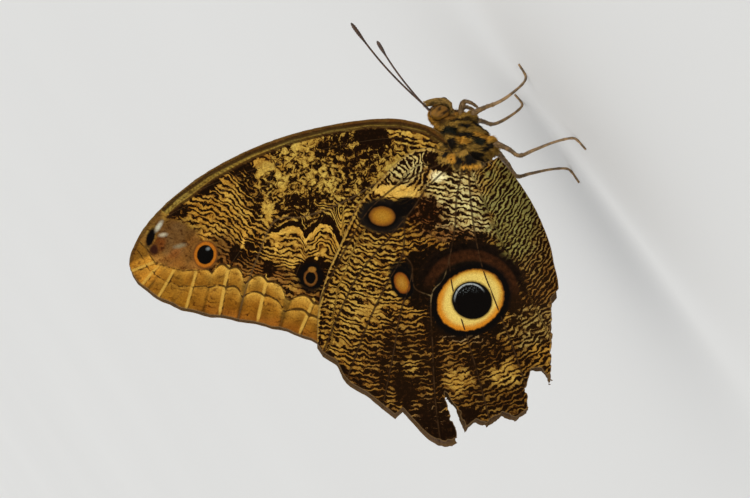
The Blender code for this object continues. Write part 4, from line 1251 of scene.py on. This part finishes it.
def hindwing_underside():
    """Ripples, folds and the great ocellus."""
    colours = bpy.context.scene.wing_colours
    nodes = Nodes("hindwing_scales")
    plane = nodes.field("plane", "Vector")
    colour, mask = underside_base(nodes, plane)
    vein = nodes.split(nodes.field("marks", "Vector"))[0]
    colour = nodes.lay(colour, tuple(colours.ink_brown), nodes.below(vein, 0.10, 0.30), 0.75)

    # Rust band and black arc around the upper side of the ocellus
    step = nodes.away(plane, OCELLUS)
    reach = nodes.vector("LENGTH", step)
    band, share = nodes.ramp(nodes.maths("DIVIDE", reach, 14.0), [
        (0.50, (0.004, 0.003, 0.002, 0.0)), (0.56, (0.006, 0.004, 0.002, 1.0)),
        (0.61, (0.034, 0.0115, 0.0035, 1.0)), (0.72, (0.028, 0.0095, 0.003, 1.0)),
        (0.76, (0.006, 0.003, 0.0015, 1.0)), (0.83, (0.006, 0.003, 0.0015, 0.9)),
        (0.90, (0.016, 0.007, 0.003, 0.0))])
    band = nodes.shaded(band, nodes.noise(plane, 0.9, 4.0, 0.65), [
        (0.30, (0.45, 0.45, 0.45)), (0.70, (1.7, 1.6, 1.5))])
    top = nodes.step(nodes.facing(step, (0.10, -0.99)), 0.05, 0.55)
    colour = nodes.lay(colour, band, share, top)

    # The eyespots, and the burnt edge and the pupil of the great one
    for mark, size, stops, wobble in HIND_RINGS:
        colour = rings(nodes, colour, plane, mark, size, stops, wobble)
    distance = spot_distance(nodes, plane, OCELLUS, HIND_RINGS[-1][3])
    outer = nodes.times(nodes.step(distance, 4.7, 6.2), nodes.below(distance, 6.35, 6.6))
    burnt = nodes.step(nodes.facing(step, (-0.30, 0.95)), -0.75, 0.35)
    colour = nodes.lay(colour, (0.62, 0.205, 0.010), outer, burnt, 0.85)
    colour = rings(nodes, colour, plane, PUPIL, 5.0, PUPIL_RINGS, 0.20)

    # The vein that crosses the great eyespot, and the light in its pupil
    colour = nodes.lay(colour, (0.05, 0.02, 0.008), nodes.below(vein, 0.07, 0.18),
                       nodes.below(distance, 6.2, 6.5), nodes.step(distance, 4.0, 4.3))
    colour = glint(nodes, colour, plane, step, 3.30, -108.0, 84.0, (0.40, 0.43, 0.42))
    specks = nodes.step(nodes.noise(plane, 3.4, 2.0, 0.7), 0.54, 0.70)
    inner = nodes.times(nodes.near(reach, 2.35, 0.3, 0.9),
                        nodes.step(nodes.facing(step, (-0.22, -0.97)), 0.45, 0.95))
    colour = nodes.lay(colour, (0.24, 0.27, 0.27), specks, inner, 0.8)

    # Pale veins, broken and dull near the eyespot
    line = nodes.times(nodes.below(vein, 0.055, 0.16), nodes.step(reach, 6.9, 7.6),
                       nodes.step(nodes.noise(plane, 0.9, 2.0), 0.28, 0.60))
    around = nodes.below(spot_distance(nodes, plane, (-6.0, 30.4, 1.0, 1.25, 0)), 1.8, 4.0)
    pale = nodes.mix(nodes.times(around, 0.55), (0.055, 0.026, 0.010), tuple(colours.vein))
    colour = nodes.lay(colour, pale, line, 0.75)
    return finish_wing(nodes, colour, plane, nodes.times(mask, -0.25))


def forewing_underside():
    """Costal band, mottled cell, ripples, smoky tip, arched rim and two ocelli."""
    nodes = Nodes("forewing_scales")
    plane = nodes.field("plane", "Vector")
    colour, mask = underside_base(nodes, plane)
    vein, line, streak = nodes.split(nodes.field("marks", "Vector"))
    colour = nodes.lay(colour, (0.64, 0.37, 0.062), nodes.below(streak, 0.10, 0.44), 0.85)
    colour = nodes.lay(colour, (0.030, 0.011, 0.003), nodes.below(line, 0.20, 0.44), 0.90)
    colour = nodes.lay(colour, (0.105, 0.058, 0.022), nodes.below(vein, 0.06, 0.24), 0.7)
    for mark, size, stops, wobble in FORE_RINGS:
        colour = rings(nodes, colour, plane, mark, size, stops, wobble)
    for mark, tint, start, end, wobble in FORE_MARKS:
        distance = spot_distance(nodes, plane, mark, wobble)
        colour = nodes.lay(colour, tint, nodes.below(distance, start, end))
    return finish_wing(nodes, colour, plane, nodes.times(mask, -0.25))


def wing_upperside():
    """Plain smoky brown with patches of painted dull violet sheen, seen only between the wings."""
    colours = bpy.context.scene.wing_colours
    nodes = Nodes("wing_upperside")
    plane = nodes.field("plane", "Vector")
    # Painted sheen: greyish-violet patches laid over the brown
    painted_sheen = nodes.step(nodes.noise(plane, 0.16, 3.0), 0.35, 0.65)
    brown = nodes.lay(tuple(colours.upper), (0.09, 0.055, 0.045), painted_sheen)
    vein = nodes.below(nodes.split(nodes.field("marks", "Vector"))[0], 0.06, 0.24)
    brown = nodes.lay(brown, (0.025, 0.012, 0.006), vein, 0.6)
    return finish_wing(nodes, brown, plane, 0.0, 1.4)


class BUTTERFLY_OT_forewings(bpy.types.Operator):
    """Make the two forewings."""

    bl_idname = "butterfly.forewings"
    bl_label = "Forewings"

    def execute(self, context):
        both_wings("forewing_", FOREWING_VEINS, DARK_VEINS, FOREWING_LAYER, forewing_fields,
                   forewing_underside())
        return {"FINISHED"}


class BUTTERFLY_OT_hindwings(bpy.types.Operator):
    """Make the two hindwings."""

    bl_idname = "butterfly.hindwings"
    bl_label = "Hindwings"

    def execute(self, context):
        both_wings("hindwing_", HINDWING_VEINS, range(len(HINDWING_VEINS)), HINDWING_LAYER,
                   hindwing_fields, hindwing_underside())
        return {"FINISHED"}


def eye_reach(places):
    """How far places lie from the nearer eye's middle, 1 on its surface."""
    tilt = math.radians(EYE_TILT)
    x = places[:, 0] - EYE[0]
    y = np.abs(places[:, 1]) - EYE[1]
    z = places[:, 2] - EYE[2]
    u = x * math.cos(tilt) - z * math.sin(tilt)
    w = x * math.sin(tilt) + z * math.cos(tilt)
    return np.sqrt((u / EYE_HALF[0]) ** 2 + (y / EYE_HALF[1]) ** 2 + (w / EYE_HALF[2]) ** 2)


def mirrored(places):
    """The same places on the animal's right side."""
    near = places.copy()
    near[:, 1] = -np.abs(near[:, 1])
    return near


def body_colours(places):
    """Colour of the coat at places counted from the middle of the thorax."""
    colours = bpy.context.scene.body_colours
    plane = picture_plane(places)
    near = mirrored(places)
    ahead, _, up = places.T
    wobble = 0.7 * (cloud(plane, 0.6, 21) - 0.5)
    streaks = cloud(plane * (0.32, 1.0), 0.58, 22)
    tan, dark = np.array(colours.fur_tan), np.array(colours.fur_dark)
    base = dark + (tan - dark) * smooth(streaks, 0.32, 0.50)[:, None]
    tint = paint(plane, base, named(THORAX_PATCHES, colours), wobble)
    tint *= (0.62 + 0.76 * cloud(plane * (0.35, 1.0), 0.28, 26))[:, None]
    freckles = smooth(cloud(plane * (0.45, 1.0), 0.48, 23), 0.36, 0.60)
    fur = np.array(colours.fur_head) * (0.28 + 0.90 * freckles)[:, None]
    lay(tint, fur, smooth(ahead, 5.2, 6.4))
    ruff = smooth(up, 1.9, 2.9) * smooth(ahead, 4.4, 5.4)
    lay(tint, np.array(colours.fur_orange) * 0.85, ruff)
    palp, _ = line_reach(near, PALP)
    shade = 0.35 + 0.75 * smooth(cloud(plane, 0.5, 24) + 0.35 * (near[:, 1] < -1.5), 0.30, 0.60)
    lay(tint, np.array(colours.palp) * shade[:, None], fade(palp, 0.75, 1.05))
    ring = np.cos(2.0 * math.pi * (ABDOMEN_FRONT - ahead) * ABDOMEN_RINGS / ABDOMEN_LENGTH)
    under = smooth(abdomen_height(ahead) - up, 0.0, 2.0)
    belly = np.array(colours.belly) * (0.80 - 0.15 * ring + 0.5 * under)[:, None]
    lay(tint, belly, smooth(-ahead, 5.4, 7.2))
    return tint


def coat_flow(places):
    """The way the coat lies at each place."""
    ahead, aside, up = places[:, 0], np.abs(places[:, 1]), places[:, 2]
    side = np.where(places[:, 1] < 0.0, -1.0, 1.0)
    mirror = np.stack([np.ones(len(places)), side, np.ones(len(places))], axis=1)
    along = mirror * (-1.0, 0.0, 0.05)
    flow = along.copy()
    lay(flow, mirror * (-0.62, 0.10, -0.78), smooth(aside, 1.2, 2.6))
    lay(flow, along, smooth(-ahead, 4.6, 6.0))
    lay(flow, mirror * (-0.25, 0.15, 0.95), smooth(ahead, 4.2, 5.6) * smooth(up, 0.8, 2.2))
    lay(flow, mirror * (0.45, 0.0, 0.85), smooth(ahead, 8.4, 9.4) * smooth(-aside, -1.2, -0.6))
    palp, heading = line_reach(mirrored(places), PALP)
    heading[:, 1] *= -side
    lay(flow, heading, fade(palp, 0.75, 1.05))
    return flow


def mesh_places(mesh):
    """A mesh's points, in millimetres from the middle of the thorax."""
    return (read(mesh.vertices, "co", 3) - np.array(THORAX)) / MM


def body_skin():
    """Thorax, head, abdomen and palps grown together into one skin."""
    sizes = bpy.context.scene.body_sizes
    flesh = ("thorax", "head", "abdomen", "palp_right", "palp_left")
    bpy.ops.object.select_all(action="DESELECT")
    for name in flesh:
        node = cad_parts[name]
        node.select_set(True)
        bpy.context.view_layer.objects.active = node
    bpy.ops.object.duplicate()
    made = list(bpy.context.selected_objects)
    for middle, half in LUMPS:
        bpy.ops.mesh.primitive_uv_sphere_add(segments=24, ring_count=16, radius=MM,
                                             location=THORAX + Vector(middle) * MM, scale=half)
        made.append(bpy.context.object)
    bpy.ops.object.select_all(action="DESELECT")
    for item in made:
        item.select_set(True)
    bpy.context.view_layer.objects.active = made[0]
    bpy.ops.object.join()
    bpy.ops.object.transform_apply(location=True, rotation=True, scale=True)
    skin = bpy.context.object
    skin.name = "body_skin"
    skin.parent = None
    edit_whole((bpy.ops.mesh.remove_doubles, {"threshold": MERGE * MM}))
    swell = SWELL * MM
    apply_modifier(skin, "DISPLACE", strength=swell, mid_level=0.0)
    apply_modifier(skin, "REMESH", mode="VOXEL", voxel_size=sizes.skin_cell)
    apply_modifier(skin, "SMOOTH", factor=0.5, iterations=3)
    apply_modifier(skin, "DISPLACE", strength=-swell, mid_level=0.0)
    palp, _ = line_reach(mirrored(mesh_places(skin.data)), PALP)
    deep = skin.vertex_groups.new(name="deep_coat")
    for index, weight in enumerate(smooth(palp, 0.8, 1.3)):
        deep.add([index], float(weight), "REPLACE")
    apply_modifier(skin, "DISPLACE", strength=-sizes.coat_depth, mid_level=0.0,
                   vertex_group="deep_coat")
    apply_modifier(skin, "SMOOTH", factor=0.5, iterations=2, vertex_group="deep_coat")
    unwrap(skin)
    count = len(skin.data.vertices)
    set_fields(skin.data, ground=body_colours(mesh_places(skin.data)) * 0.6,
               tip=np.full(count, 0.35), strand=np.full(count, 0.5))
    bpy.ops.object.shade_smooth()
    skin.data.materials.clear()
    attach(skin, "root")
    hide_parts(*flesh)
    return skin


def sampled(mesh, count, seed):
    """Random spots spread evenly over a mesh: place, outward direction and spot on the map."""
    random_draw = np.random.default_rng(seed)
    mesh.calc_loop_triangles()
    faces = mesh.loop_triangles
    corners = read(faces, "vertices", 3, np.int32)
    loops = read(faces, "loops", 3, np.int32)
    triangles = read(mesh.vertices, "co", 3)[corners]
    directions = read(mesh.vertices, "normal", 3)[corners]
    maps = read(mesh.uv_layers["OFBake"].uv, "vector", 2)[loops]
    area = np.linalg.norm(np.cross(triangles[:, 1] - triangles[:, 0],
                                   triangles[:, 2] - triangles[:, 0]), axis=1)
    chosen = random_draw.choice(len(faces), count, p=area / area.sum())
    a, b = random_draw.random((2, count))
    over = a + b > 1.0
    a[over], b[over] = 1.0 - a[over], 1.0 - b[over]
    weights = np.stack([1.0 - a - b, a, b], axis=1)[:, :, None]
    places = ((triangles[chosen] * weights).sum(axis=1) - np.array(THORAX)) / MM
    return places, (directions[chosen] * weights).sum(axis=1), (maps[chosen] * weights).sum(axis=1)


def tufts(name, seed, places, outward, maps, flow, length, width, lift, tint):
    """Thin tapered blades rooted at places, each bent over to lie along the flow."""
    random_draw = np.random.default_rng(seed)
    count = len(places)
    outward = unit(outward)
    lying = unit(flow - (flow * outward).sum(axis=1)[:, None] * outward
                 + random_draw.normal(0.0, 0.13, (count, 3)))
    across = unit(np.cross(lying, outward))
    start = unit(lying + outward * np.tan(lift)[:, None])
    end = unit(lying + outward * np.tan(lift * 0.25)[:, None])
    reach = (length * random_draw.uniform(0.72, 1.18, count))[:, None]
    half = (width * random_draw.uniform(0.8, 1.2, count) / 2.0)[:, None]
    root = places - outward * 0.06
    middle = root + start * reach * 0.45
    tip = middle + end * reach * 0.55
    thick = outward * half * 0.5
    points = np.stack([root - across * half, root + across * half, root + thick,
                       middle - across * half * 0.85, middle + across * half * 0.85,
                       middle + thick * 0.9, tip], axis=1)
    shape = np.array(TUFT_FACES)
    first = points[0] - points[0].mean(axis=0)
    if np.linalg.det(first[shape]).sum() < 0.0:
        shape = shape[:, ::-1]
    faces = (np.arange(count)[:, None, None] * 7 + shape).reshape(-1, 3)
    mesh = new_mesh(name, points.reshape(-1, 3), faces)
    spots = (np.clip(maps, 0.0, 0.996)[:, None, :] + np.array(TUFT_MAP) * 0.003).reshape(-1, 2)
    layer = mesh.uv_layers.new(name="OFBake")
    layer.uv.foreach_set("vector", spots[faces.ravel()].astype(np.float32).ravel())
    set_fields(mesh, ground=np.repeat(tint, 7, axis=0),
               tip=np.tile(TUFT_TIP, count),
               strand=np.repeat(random_draw.random(count), 7))
    piece = new_piece(name, mesh)
    mesh.shade_smooth()
    mesh.materials.append(bpy.data.materials["fur"])


def coat_material():
    """Hair-like scales: darker at the root, lighter at the tip, each a little different."""
    nodes = Nodes("fur")
    colour = nodes.shaded(nodes.field("ground", "Color"), nodes.field("tip"), [
        (0.0, (0.42, 0.38, 0.36)), (0.45, (0.90, 0.88, 0.86)), (1.0, (1.30, 1.28, 1.22))])
    colour = nodes.shaded(colour, nodes.field("strand"), [
        (0.0, (0.62, 0.58, 0.54)), (0.5, (1.0, 1.0, 1.0)), (1.0, (1.40, 1.40, 1.36))])
    fine = nodes.noise(nodes.place(), 9000.0, 3.0)
    nodes.bump(fine, 0.00004, 0.6)
    return nodes.finish(colour, nodes.scaled(fine, 0.15, 0.48), 0.12)


class BUTTERFLY_OT_body(bpy.types.Operator):
    """Make the skin of the body and lay its coat."""

    bl_idname = "butterfly.body"
    bl_label = "Body and coat"

    def execute(self, context):
        sizes = context.scene.body_sizes
        fur = coat_material()
        skin = body_skin()
        skin.data.materials.append(fur)
        places, outward, maps = sampled(skin.data, COAT_COUNT, 31)
        eyes = eye_reach(places)
        on_palp = line_reach(mirrored(places), PALP)[0] < 1.0
        on_head = (places[:, 0] > 5.4) & ~on_palp
        on_back = places[:, 0] < -5.6
        on_thorax = ~on_head & ~on_back & ~on_palp
        ruff = (places[:, 0] > 4.4) & (places[:, 2] > 1.6) & ~on_palp
        length, width, lift = np.tile((sizes.thorax_hair / MM, 0.17, math.radians(20.0)),
                                      (len(places), 1)).T
        length[on_head] = sizes.head_hair / MM
        width[on_head] = 0.10
        length[ruff] = sizes.head_hair / MM * 1.35
        lift[ruff] = math.radians(42.0)
        length[on_palp] = 0.42
        width[on_palp] = 0.085
        length[on_back] = sizes.abdomen_hair / MM
        width[on_back] = 0.15
        lift[on_back] = math.radians(10.0)
        short = (eyes < 1.35) & ~on_palp
        length[short] *= 0.75
        lift[short] = math.radians(12.0)
        clump = cloud(picture_plane(places), 0.85, 25)
        length[on_thorax] *= (0.75 + 0.6 * clump)[on_thorax]
        lift[on_thorax] += (math.radians(20.0) * smooth(clump, 0.45, 0.80))[on_thorax]
        draw = np.random.default_rng(32).random(len(places))
        keep = (eyes > 1.03) & (draw < np.where(on_back, 0.55, 1.0))
        right = places[:, 1] < 0.0
        coat = (places, outward, maps, coat_flow(places), length, width, lift,
                body_colours(places))

        for name, chosen, seed in (("thorax_right", on_thorax & right, 1),
                                   ("thorax_left", on_thorax & ~right, 6),
                                   ("head", on_head, 2), ("palps", on_palp, 3),
                                   ("abdomen", on_back, 4)):
            tufts("coat_" + name, seed, *(part[keep & chosen] for part in coat))
        tufts("coat_roots", 5, *root_tufts())
        return {"FINISHED"}


def root_tufts():
    """Hair over the wings' bases: its places, and how each tuft there lies and is coloured."""
    draw = np.random.default_rng(33)
    middle, half = np.array(ROOT_HAIR[:2]), np.array(ROOT_HAIR[2:])
    kept = []
    for node, layer in (("hindwing_right", HINDWING_LAYER), ("forewing_right", FOREWING_LAYER)):
        rim = rim_of(node, -1.0)
        flat = draw.uniform(*ROOT_FIELD, (ROOT_COUNT, 2))
        away = wing_surface(flat[:, 0], flat[:, 1], layer) + MEMBRANE / 2.0 + 0.02
        places = np.stack([flat[:, 0], -away, flat[:, 1]], axis=1)
        share = np.linalg.norm((picture_plane(places)[:, :2] - middle) / half, axis=1)
        share += 0.5 * (cloud(places[:, [0, 2]], 1.0, 34) - 0.5)
        good = inside(flat, rim) & (draw.random(len(flat)) < fade(share, 0.6, 1.15))
        if kept:
            good &= ~inside(flat, rim_of("hindwing_right", -1.0))
        kept.append(places[good])
    right = np.concatenate(kept)
    places = np.concatenate([right, right * (1.0, -1.0, 1.0)])
    count = len(places)
    outward = np.tile(np.array([0.0, -1.0, 0.0]), (count, 1))
    outward[len(right):, 1] = 1.0
    clump = cloud(picture_plane(places), 0.7, 35)
    flow = np.stack([places[:, 0] * 0.5 - 1.0, np.zeros(count), places[:, 2] * 0.9], axis=1)
    maps = 0.02 + (right[:, [0, 2]] + 12.0) / (60.0, 30.0)
    maps = np.concatenate([maps, maps + (0.5, 0.0)])
    length = 0.75 + 0.7 * clump
    lift = math.radians(8.0) + math.radians(18.0) * clump
    tint = body_colours(places) * (0.75 + 0.5 * clump)[:, None]
    return places, outward, maps, flow, length, np.full(count, 0.15), lift, tint


def swept(name, route, side, finish):
    """A limb drawn as a curve of changing thickness, turned into a closed, unwrapped mesh."""
    curve = bpy.data.curves.new(name, "CURVE")
    curve.dimensions = "3D"
    curve.bevel_depth = MM
    curve.bevel_resolution = 3
    curve.use_fill_caps = True
    line = curve.splines.new("POLY")
    line.points.add(len(route) - 1)
    for point, (x, y, z, radius) in zip(line.points, route):
        point.co = (*(THORAX + Vector((x, -side * y, z)) * MM), 1.0)
        point.radius = radius
    piece = bpy.data.objects.new(name, curve)
    bpy.context.scene.collection.objects.link(piece)
    select_only(piece)
    bpy.ops.object.convert(target="MESH")
    piece = bpy.context.object
    edit_whole((bpy.ops.mesh.remove_doubles, {"threshold": 0.000002}),
               (bpy.ops.mesh.normals_make_consistent, {"inside": False}))
    for vertex in piece.data.vertices:
        vertex.co.z = max(vertex.co.z, 0.0)
    bpy.ops.object.shade_smooth_by_angle(angle=SMOOTH_ANGLE)
    piece.data.materials.append(finish)
    unwrap(piece)
    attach(piece, "root")
    return piece


def jointed(route, joints):
    """Swell a limb's thickness a little before each joint, given by places along it."""
    share = np.linspace(0.0, 1.0, len(route))
    gap = np.abs(share[:, None] - joints).min(axis=1) * (len(route) - 1)
    route[:, 3] *= 1.0 + 0.20 * np.exp(-(gap / 1.6) ** 2)
    return route.tolist()


def horn_material(name, tint, grain_scale):
    """Dark horn with fine scales."""
    nodes = Nodes(name)
    place = nodes.place()
    tone = nodes.noise(place, 900.0, 3.0)
    dark, light, bright = (tuple(min(1.0, c * by) for c in tint) for by in (0.45, 1.9, 3.0))
    colour = nodes.lay(dark, light, nodes.step(tone, 0.32, 0.68))
    grain = nodes.cells(place, grain_scale)
    speckle = nodes.step(nodes.split(grain["Color"])[0], 0.78, 0.95)
    colour = nodes.lay(colour, bright, speckle, 0.5)
    nodes.bump(grain["Distance"], 0.00002, 0.6)
    return nodes.finish(colour, nodes.scaled(tone, 0.2, 0.32), 0.4)


class BUTTERFLY_OT_legs(bpy.types.Operator):
    """Make the six legs with their swollen joints and short hair."""

    bl_idname = "butterfly.legs"
    bl_label = "Legs"

    def execute(self, context):
        horn = tuple(context.scene.body_colours.leg)
        finish = horn_material("leg_horn", horn, 14000.0)
        seed = 50
        for word, side in SIDES:
            for label, line, joints, count in LEGS:
                route = jointed(smooth_line(line, LEG_STEP), joints)
                leg = swept(label + word + "_fine", route, side, finish)
                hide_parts(label + word)
                places, outward, maps = sampled(leg.data, count, seed)
                _, heading = line_reach(mirrored(places), [p[:3] for p in line])
                heading[:, 1] *= -side
                down = smooth(-places[:, 2], 5.0, 9.0)
                draw = np.random.default_rng(seed).random(len(places))
                keep = (places[:, 2] > -16.6) & (draw < 1.0 - 0.45 * down)
                lift = math.radians(16.0) + down * math.radians(14.0)
                tint = np.array(horn) * (1.25 - 0.45 * down)[:, None]
                coat = (places, outward, maps, heading, 0.62 - 0.22 * down, 0.11 - 0.05 * down,
                        lift, tint)
                tufts("coat_" + label + word, seed, *(part[keep] for part in coat))
                seed += 1
        return {"FINISHED"}


class BUTTERFLY_OT_feelers(bpy.types.Operator):
    """Make the ringed feelers and the coiled tongue."""

    bl_idname = "butterfly.feelers"
    bl_label = "Feelers and tongue"

    def execute(self, context):
        finish = horn_material("feeler_horn", tuple(context.scene.body_colours.horn), 9000.0)
        root = np.array(ANTENNA_ROOT)
        share = np.linspace(0.0, 1.0, ANTENNA_JOINTS * 4 + 1)
        end = np.clip((share - 0.95) / 0.05, 0.0, 1.0)
        radius = 0.20 + 0.20 * smooth(share, 0.78, 0.91) - 0.24 * end ** 2
        radius *= np.resize((1.0, 1.10, 1.10, 0.92), len(share))
        for word, side in SIDES:
            spots = root + np.outer(share, np.array(ANTENNA_TIPS[word]) - root)
            spots += np.outer(np.sin(math.pi * share), ANTENNA_BOW)
            route = np.column_stack([spots, radius]).tolist()
            piece = swept("antenna_" + word + "_ringed", route, side, finish)
            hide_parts("antenna_" + word)
        share = np.linspace(0.0, 1.0, TONGUE_RINGS + 1)
        angle = TONGUE_PHASE + 2.0 * math.pi * TONGUE_TURNS * share
        reach = TONGUE_PITCH * (TONGUE_START + TONGUE_TURNS * share)
        radius = TONGUE_RADIUS * (0.7 + 0.3 * share) * np.resize((1.0, 1.06), len(share))
        coil = np.column_stack([TONGUE_CENTRE[0] + reach * np.cos(angle), np.zeros(len(share)),
                                TONGUE_CENTRE[2] + reach * np.sin(angle), radius])
        route = [*coil.tolist(), (*TONGUE_ROOT, TONGUE_RADIUS)]
        tongue = swept("tongue", route, -1.0, finish)
        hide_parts("proboscis")
        return {"FINISHED"}


def eye_material():
    """Amber brown with fine facets, a dark pupil-like patch and a gloss."""
    nodes = Nodes("compound_eye")
    place = nodes.place()
    local = nodes.vector("SUBTRACT", place, tuple(THORAX))
    bands = nodes.noise(nodes.vector("MULTIPLY", local, (1.0, 0.4, 0.30)), 1500.0, 3.0)
    amber = bpy.context.scene.body_colours.eye
    dark, light = (tuple(c * by for c in amber) for by in (0.30, 1.9))
    colour = nodes.lay(dark, light, nodes.step(bands, 0.40, 0.60))
    high = nodes.step(nodes.split(local)[2], 0.0008, 0.0026)
    colour = nodes.lay(colour, (0.24, 0.115, 0.012), high, 0.40)
    step = nodes.vector("SUBTRACT", local, (EYE[0] * MM + 0.0004, 0.0, EYE[2] * MM - 0.0002))
    flat = nodes.vector("MULTIPLY", step, (1000.0, 0.0, 1000.0))
    pupil = nodes.below(nodes.vector("LENGTH", flat), 0.12, 0.55)
    colour = nodes.lay(colour, (0.008, 0.004, 0.002), pupil, 0.75)
    facets = nodes.cells(place, 1.0 / bpy.context.scene.body_sizes.facet)
    nodes.bump(facets["Distance"], 0.00001, 0.5)
    nodes.shader.inputs["Coat Weight"].default_value = 0.06
    nodes.shader.inputs["Coat Roughness"].default_value = 0.18
    return nodes.finish(colour, 0.45, 0.08)


class BUTTERFLY_OT_eyes(bpy.types.Operator):
    """Make the two compound eyes."""

    bl_idname = "butterfly.eyes"
    bl_label = "Eyes"

    def execute(self, context):
        finish = eye_material()
        for word, side in SIDES:
            middle = THORAX + Vector((EYE[0], side * EYE[1], EYE[2])) * MM
            bpy.ops.object.select_all(action="DESELECT")
            bpy.ops.mesh.primitive_ico_sphere_add(subdivisions=5, radius=MM, location=middle)
            bpy.ops.transform.resize(value=EYE_HALF)
            bpy.ops.transform.rotate(value=-math.radians(EYE_TILT), orient_axis="Y",
                                     center_override=middle)
            bpy.ops.object.transform_apply(location=True, rotation=True, scale=True)
            edit_whole((bpy.ops.mesh.inset, {"thickness": FACET_RIM * MM, "use_individual": True,
                                             "depth": FACET_RISE * MM}))
            bpy.ops.object.shade_smooth()
            eye = context.object
            eye.name = "eye_" + word + "_faceted"
            eye.data.uv_layers[0].name = "OFBake"
            eye.data.materials.append(finish)
            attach(eye, "root")
            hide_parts("eye_" + word)
        return {"FINISHED"}


def soft_sun(name, towards, spread, strength, tint=(1.0, 1.0, 1.0)):
    """A wide distant light that comes from one side and lights the floor evenly."""
    light = bpy.data.lights.new(name, "SUN")
    light.angle = math.radians(spread)
    light.energy = strength
    light.color = tint
    lamp = bpy.data.objects.new(name, light)
    bpy.context.scene.collection.objects.link(lamp)
    lamp.location = Vector(towards)
    lamp.rotation_euler = Vector(towards).to_track_quat("Z", "Y").to_euler()


class BUTTERFLY_OT_stage(bpy.types.Operator):
    """Set up the floor, the lights and the camera."""

    bl_idname = "butterfly.stage"
    bl_label = "Stage"

    def execute(self, context):
        bpy.ops.object.select_all(action="DESELECT")
        bpy.ops.mesh.primitive_plane_add(size=24.0, location=(0.0, 0.0, 0.0))
        floor = context.object
        floor.name = "floor"
        nodes = Nodes("pale_floor")
        tone = nodes.noise(nodes.place(), 3.0, 2.0)
        pale = nodes.mix(tone, (0.62, 0.615, 0.60), (0.66, 0.655, 0.64))
        floor.data.materials.append(nodes.finish(pale, 0.75, 0.2))
        world = bpy.data.worlds.new("studio")
        world.use_nodes = True
        sky = world.node_tree.nodes["Background"]
        sky.inputs["Color"].default_value = (0.82, 0.84, 0.86, 1.0)
        sky.inputs["Strength"].default_value = 0.82
        context.scene.world = world
        soft_sun("key", (0.35, -0.75, 0.8), 60.0, 1.15, (1.0, 0.96, 0.90))
        soft_sun("fill", (-0.7, -0.5, 0.6), 70.0, 0.50, (0.95, 0.97, 1.0))
        soft_sun("back", (0.2, 0.8, 0.8), 60.0, 0.50)

        target = THORAX + (RIGHT * PICTURE_CENTRE[0] + DOWN * PICTURE_CENTRE[1]) * MM
        lens = bpy.data.cameras.new("view")
        lens.sensor_width = SENSOR
        lens.lens = SENSOR * CAMERA_DISTANCE / PICTURE_WIDTH
        lens.clip_start = 0.01
        lens.clip_end = 20.0
        camera = bpy.data.objects.new("view", lens)
        context.scene.collection.objects.link(camera)
        turn = np.array([RIGHT, -DOWN, TOWARDS]).T
        matrix = np.eye(4)
        matrix[:3, :3] = turn
        matrix[:3, 3] = target + TOWARDS * CAMERA_DISTANCE * MM
        camera.matrix_world = Matrix(matrix.tolist())
        context.scene.camera = camera
        context.scene.view_settings.view_transform = "Standard"
        return {"FINISHED"}


class BUTTERFLY_PT_panel(bpy.types.Panel):
    """The steps that dress the model."""

    bl_label = "Owl butterfly"
    bl_space_type = "VIEW_3D"
    bl_region_type = "UI"
    bl_category = "Butterfly"

    def draw(self, context):
        for step in STEPS:
            self.layout.operator(step.bl_idname)
        for group in ("wing_sizes", "wing_colours", "body_sizes", "body_colours"):
            box = self.layout.box()
            settings = getattr(context.scene, group)
            for key in settings.bl_rna.properties.keys():
                if key not in ("rna_type", "name"):
                    box.prop(settings, key)


STEPS = (BUTTERFLY_OT_stage, BUTTERFLY_OT_forewings, BUTTERFLY_OT_hindwings, BUTTERFLY_OT_body,
         BUTTERFLY_OT_legs, BUTTERFLY_OT_feelers, BUTTERFLY_OT_eyes)
CLASSES = (WingSizes, WingColours, BodySizes, BodyColours, *STEPS, BUTTERFLY_PT_panel)


def register():
    for item in CLASSES:
        bpy.utils.register_class(item)
    bpy.types.Scene.wing_sizes = bpy.props.PointerProperty(type=WingSizes)
    bpy.types.Scene.wing_colours = bpy.props.PointerProperty(type=WingColours)
    bpy.types.Scene.body_sizes = bpy.props.PointerProperty(type=BodySizes)
    bpy.types.Scene.body_colours = bpy.props.PointerProperty(type=BodyColours)


def unregister():
    del bpy.types.Scene.wing_sizes
    del bpy.types.Scene.wing_colours
    del bpy.types.Scene.body_sizes
    del bpy.types.Scene.body_colours
    for item in reversed(CLASSES):
        bpy.utils.unregister_class(item)


def main():
    register()
    for step in STEPS:
        group, name = step.bl_idname.split(".")
        getattr(getattr(bpy.ops, group), name)()


if __name__ == "__main__":
    main()
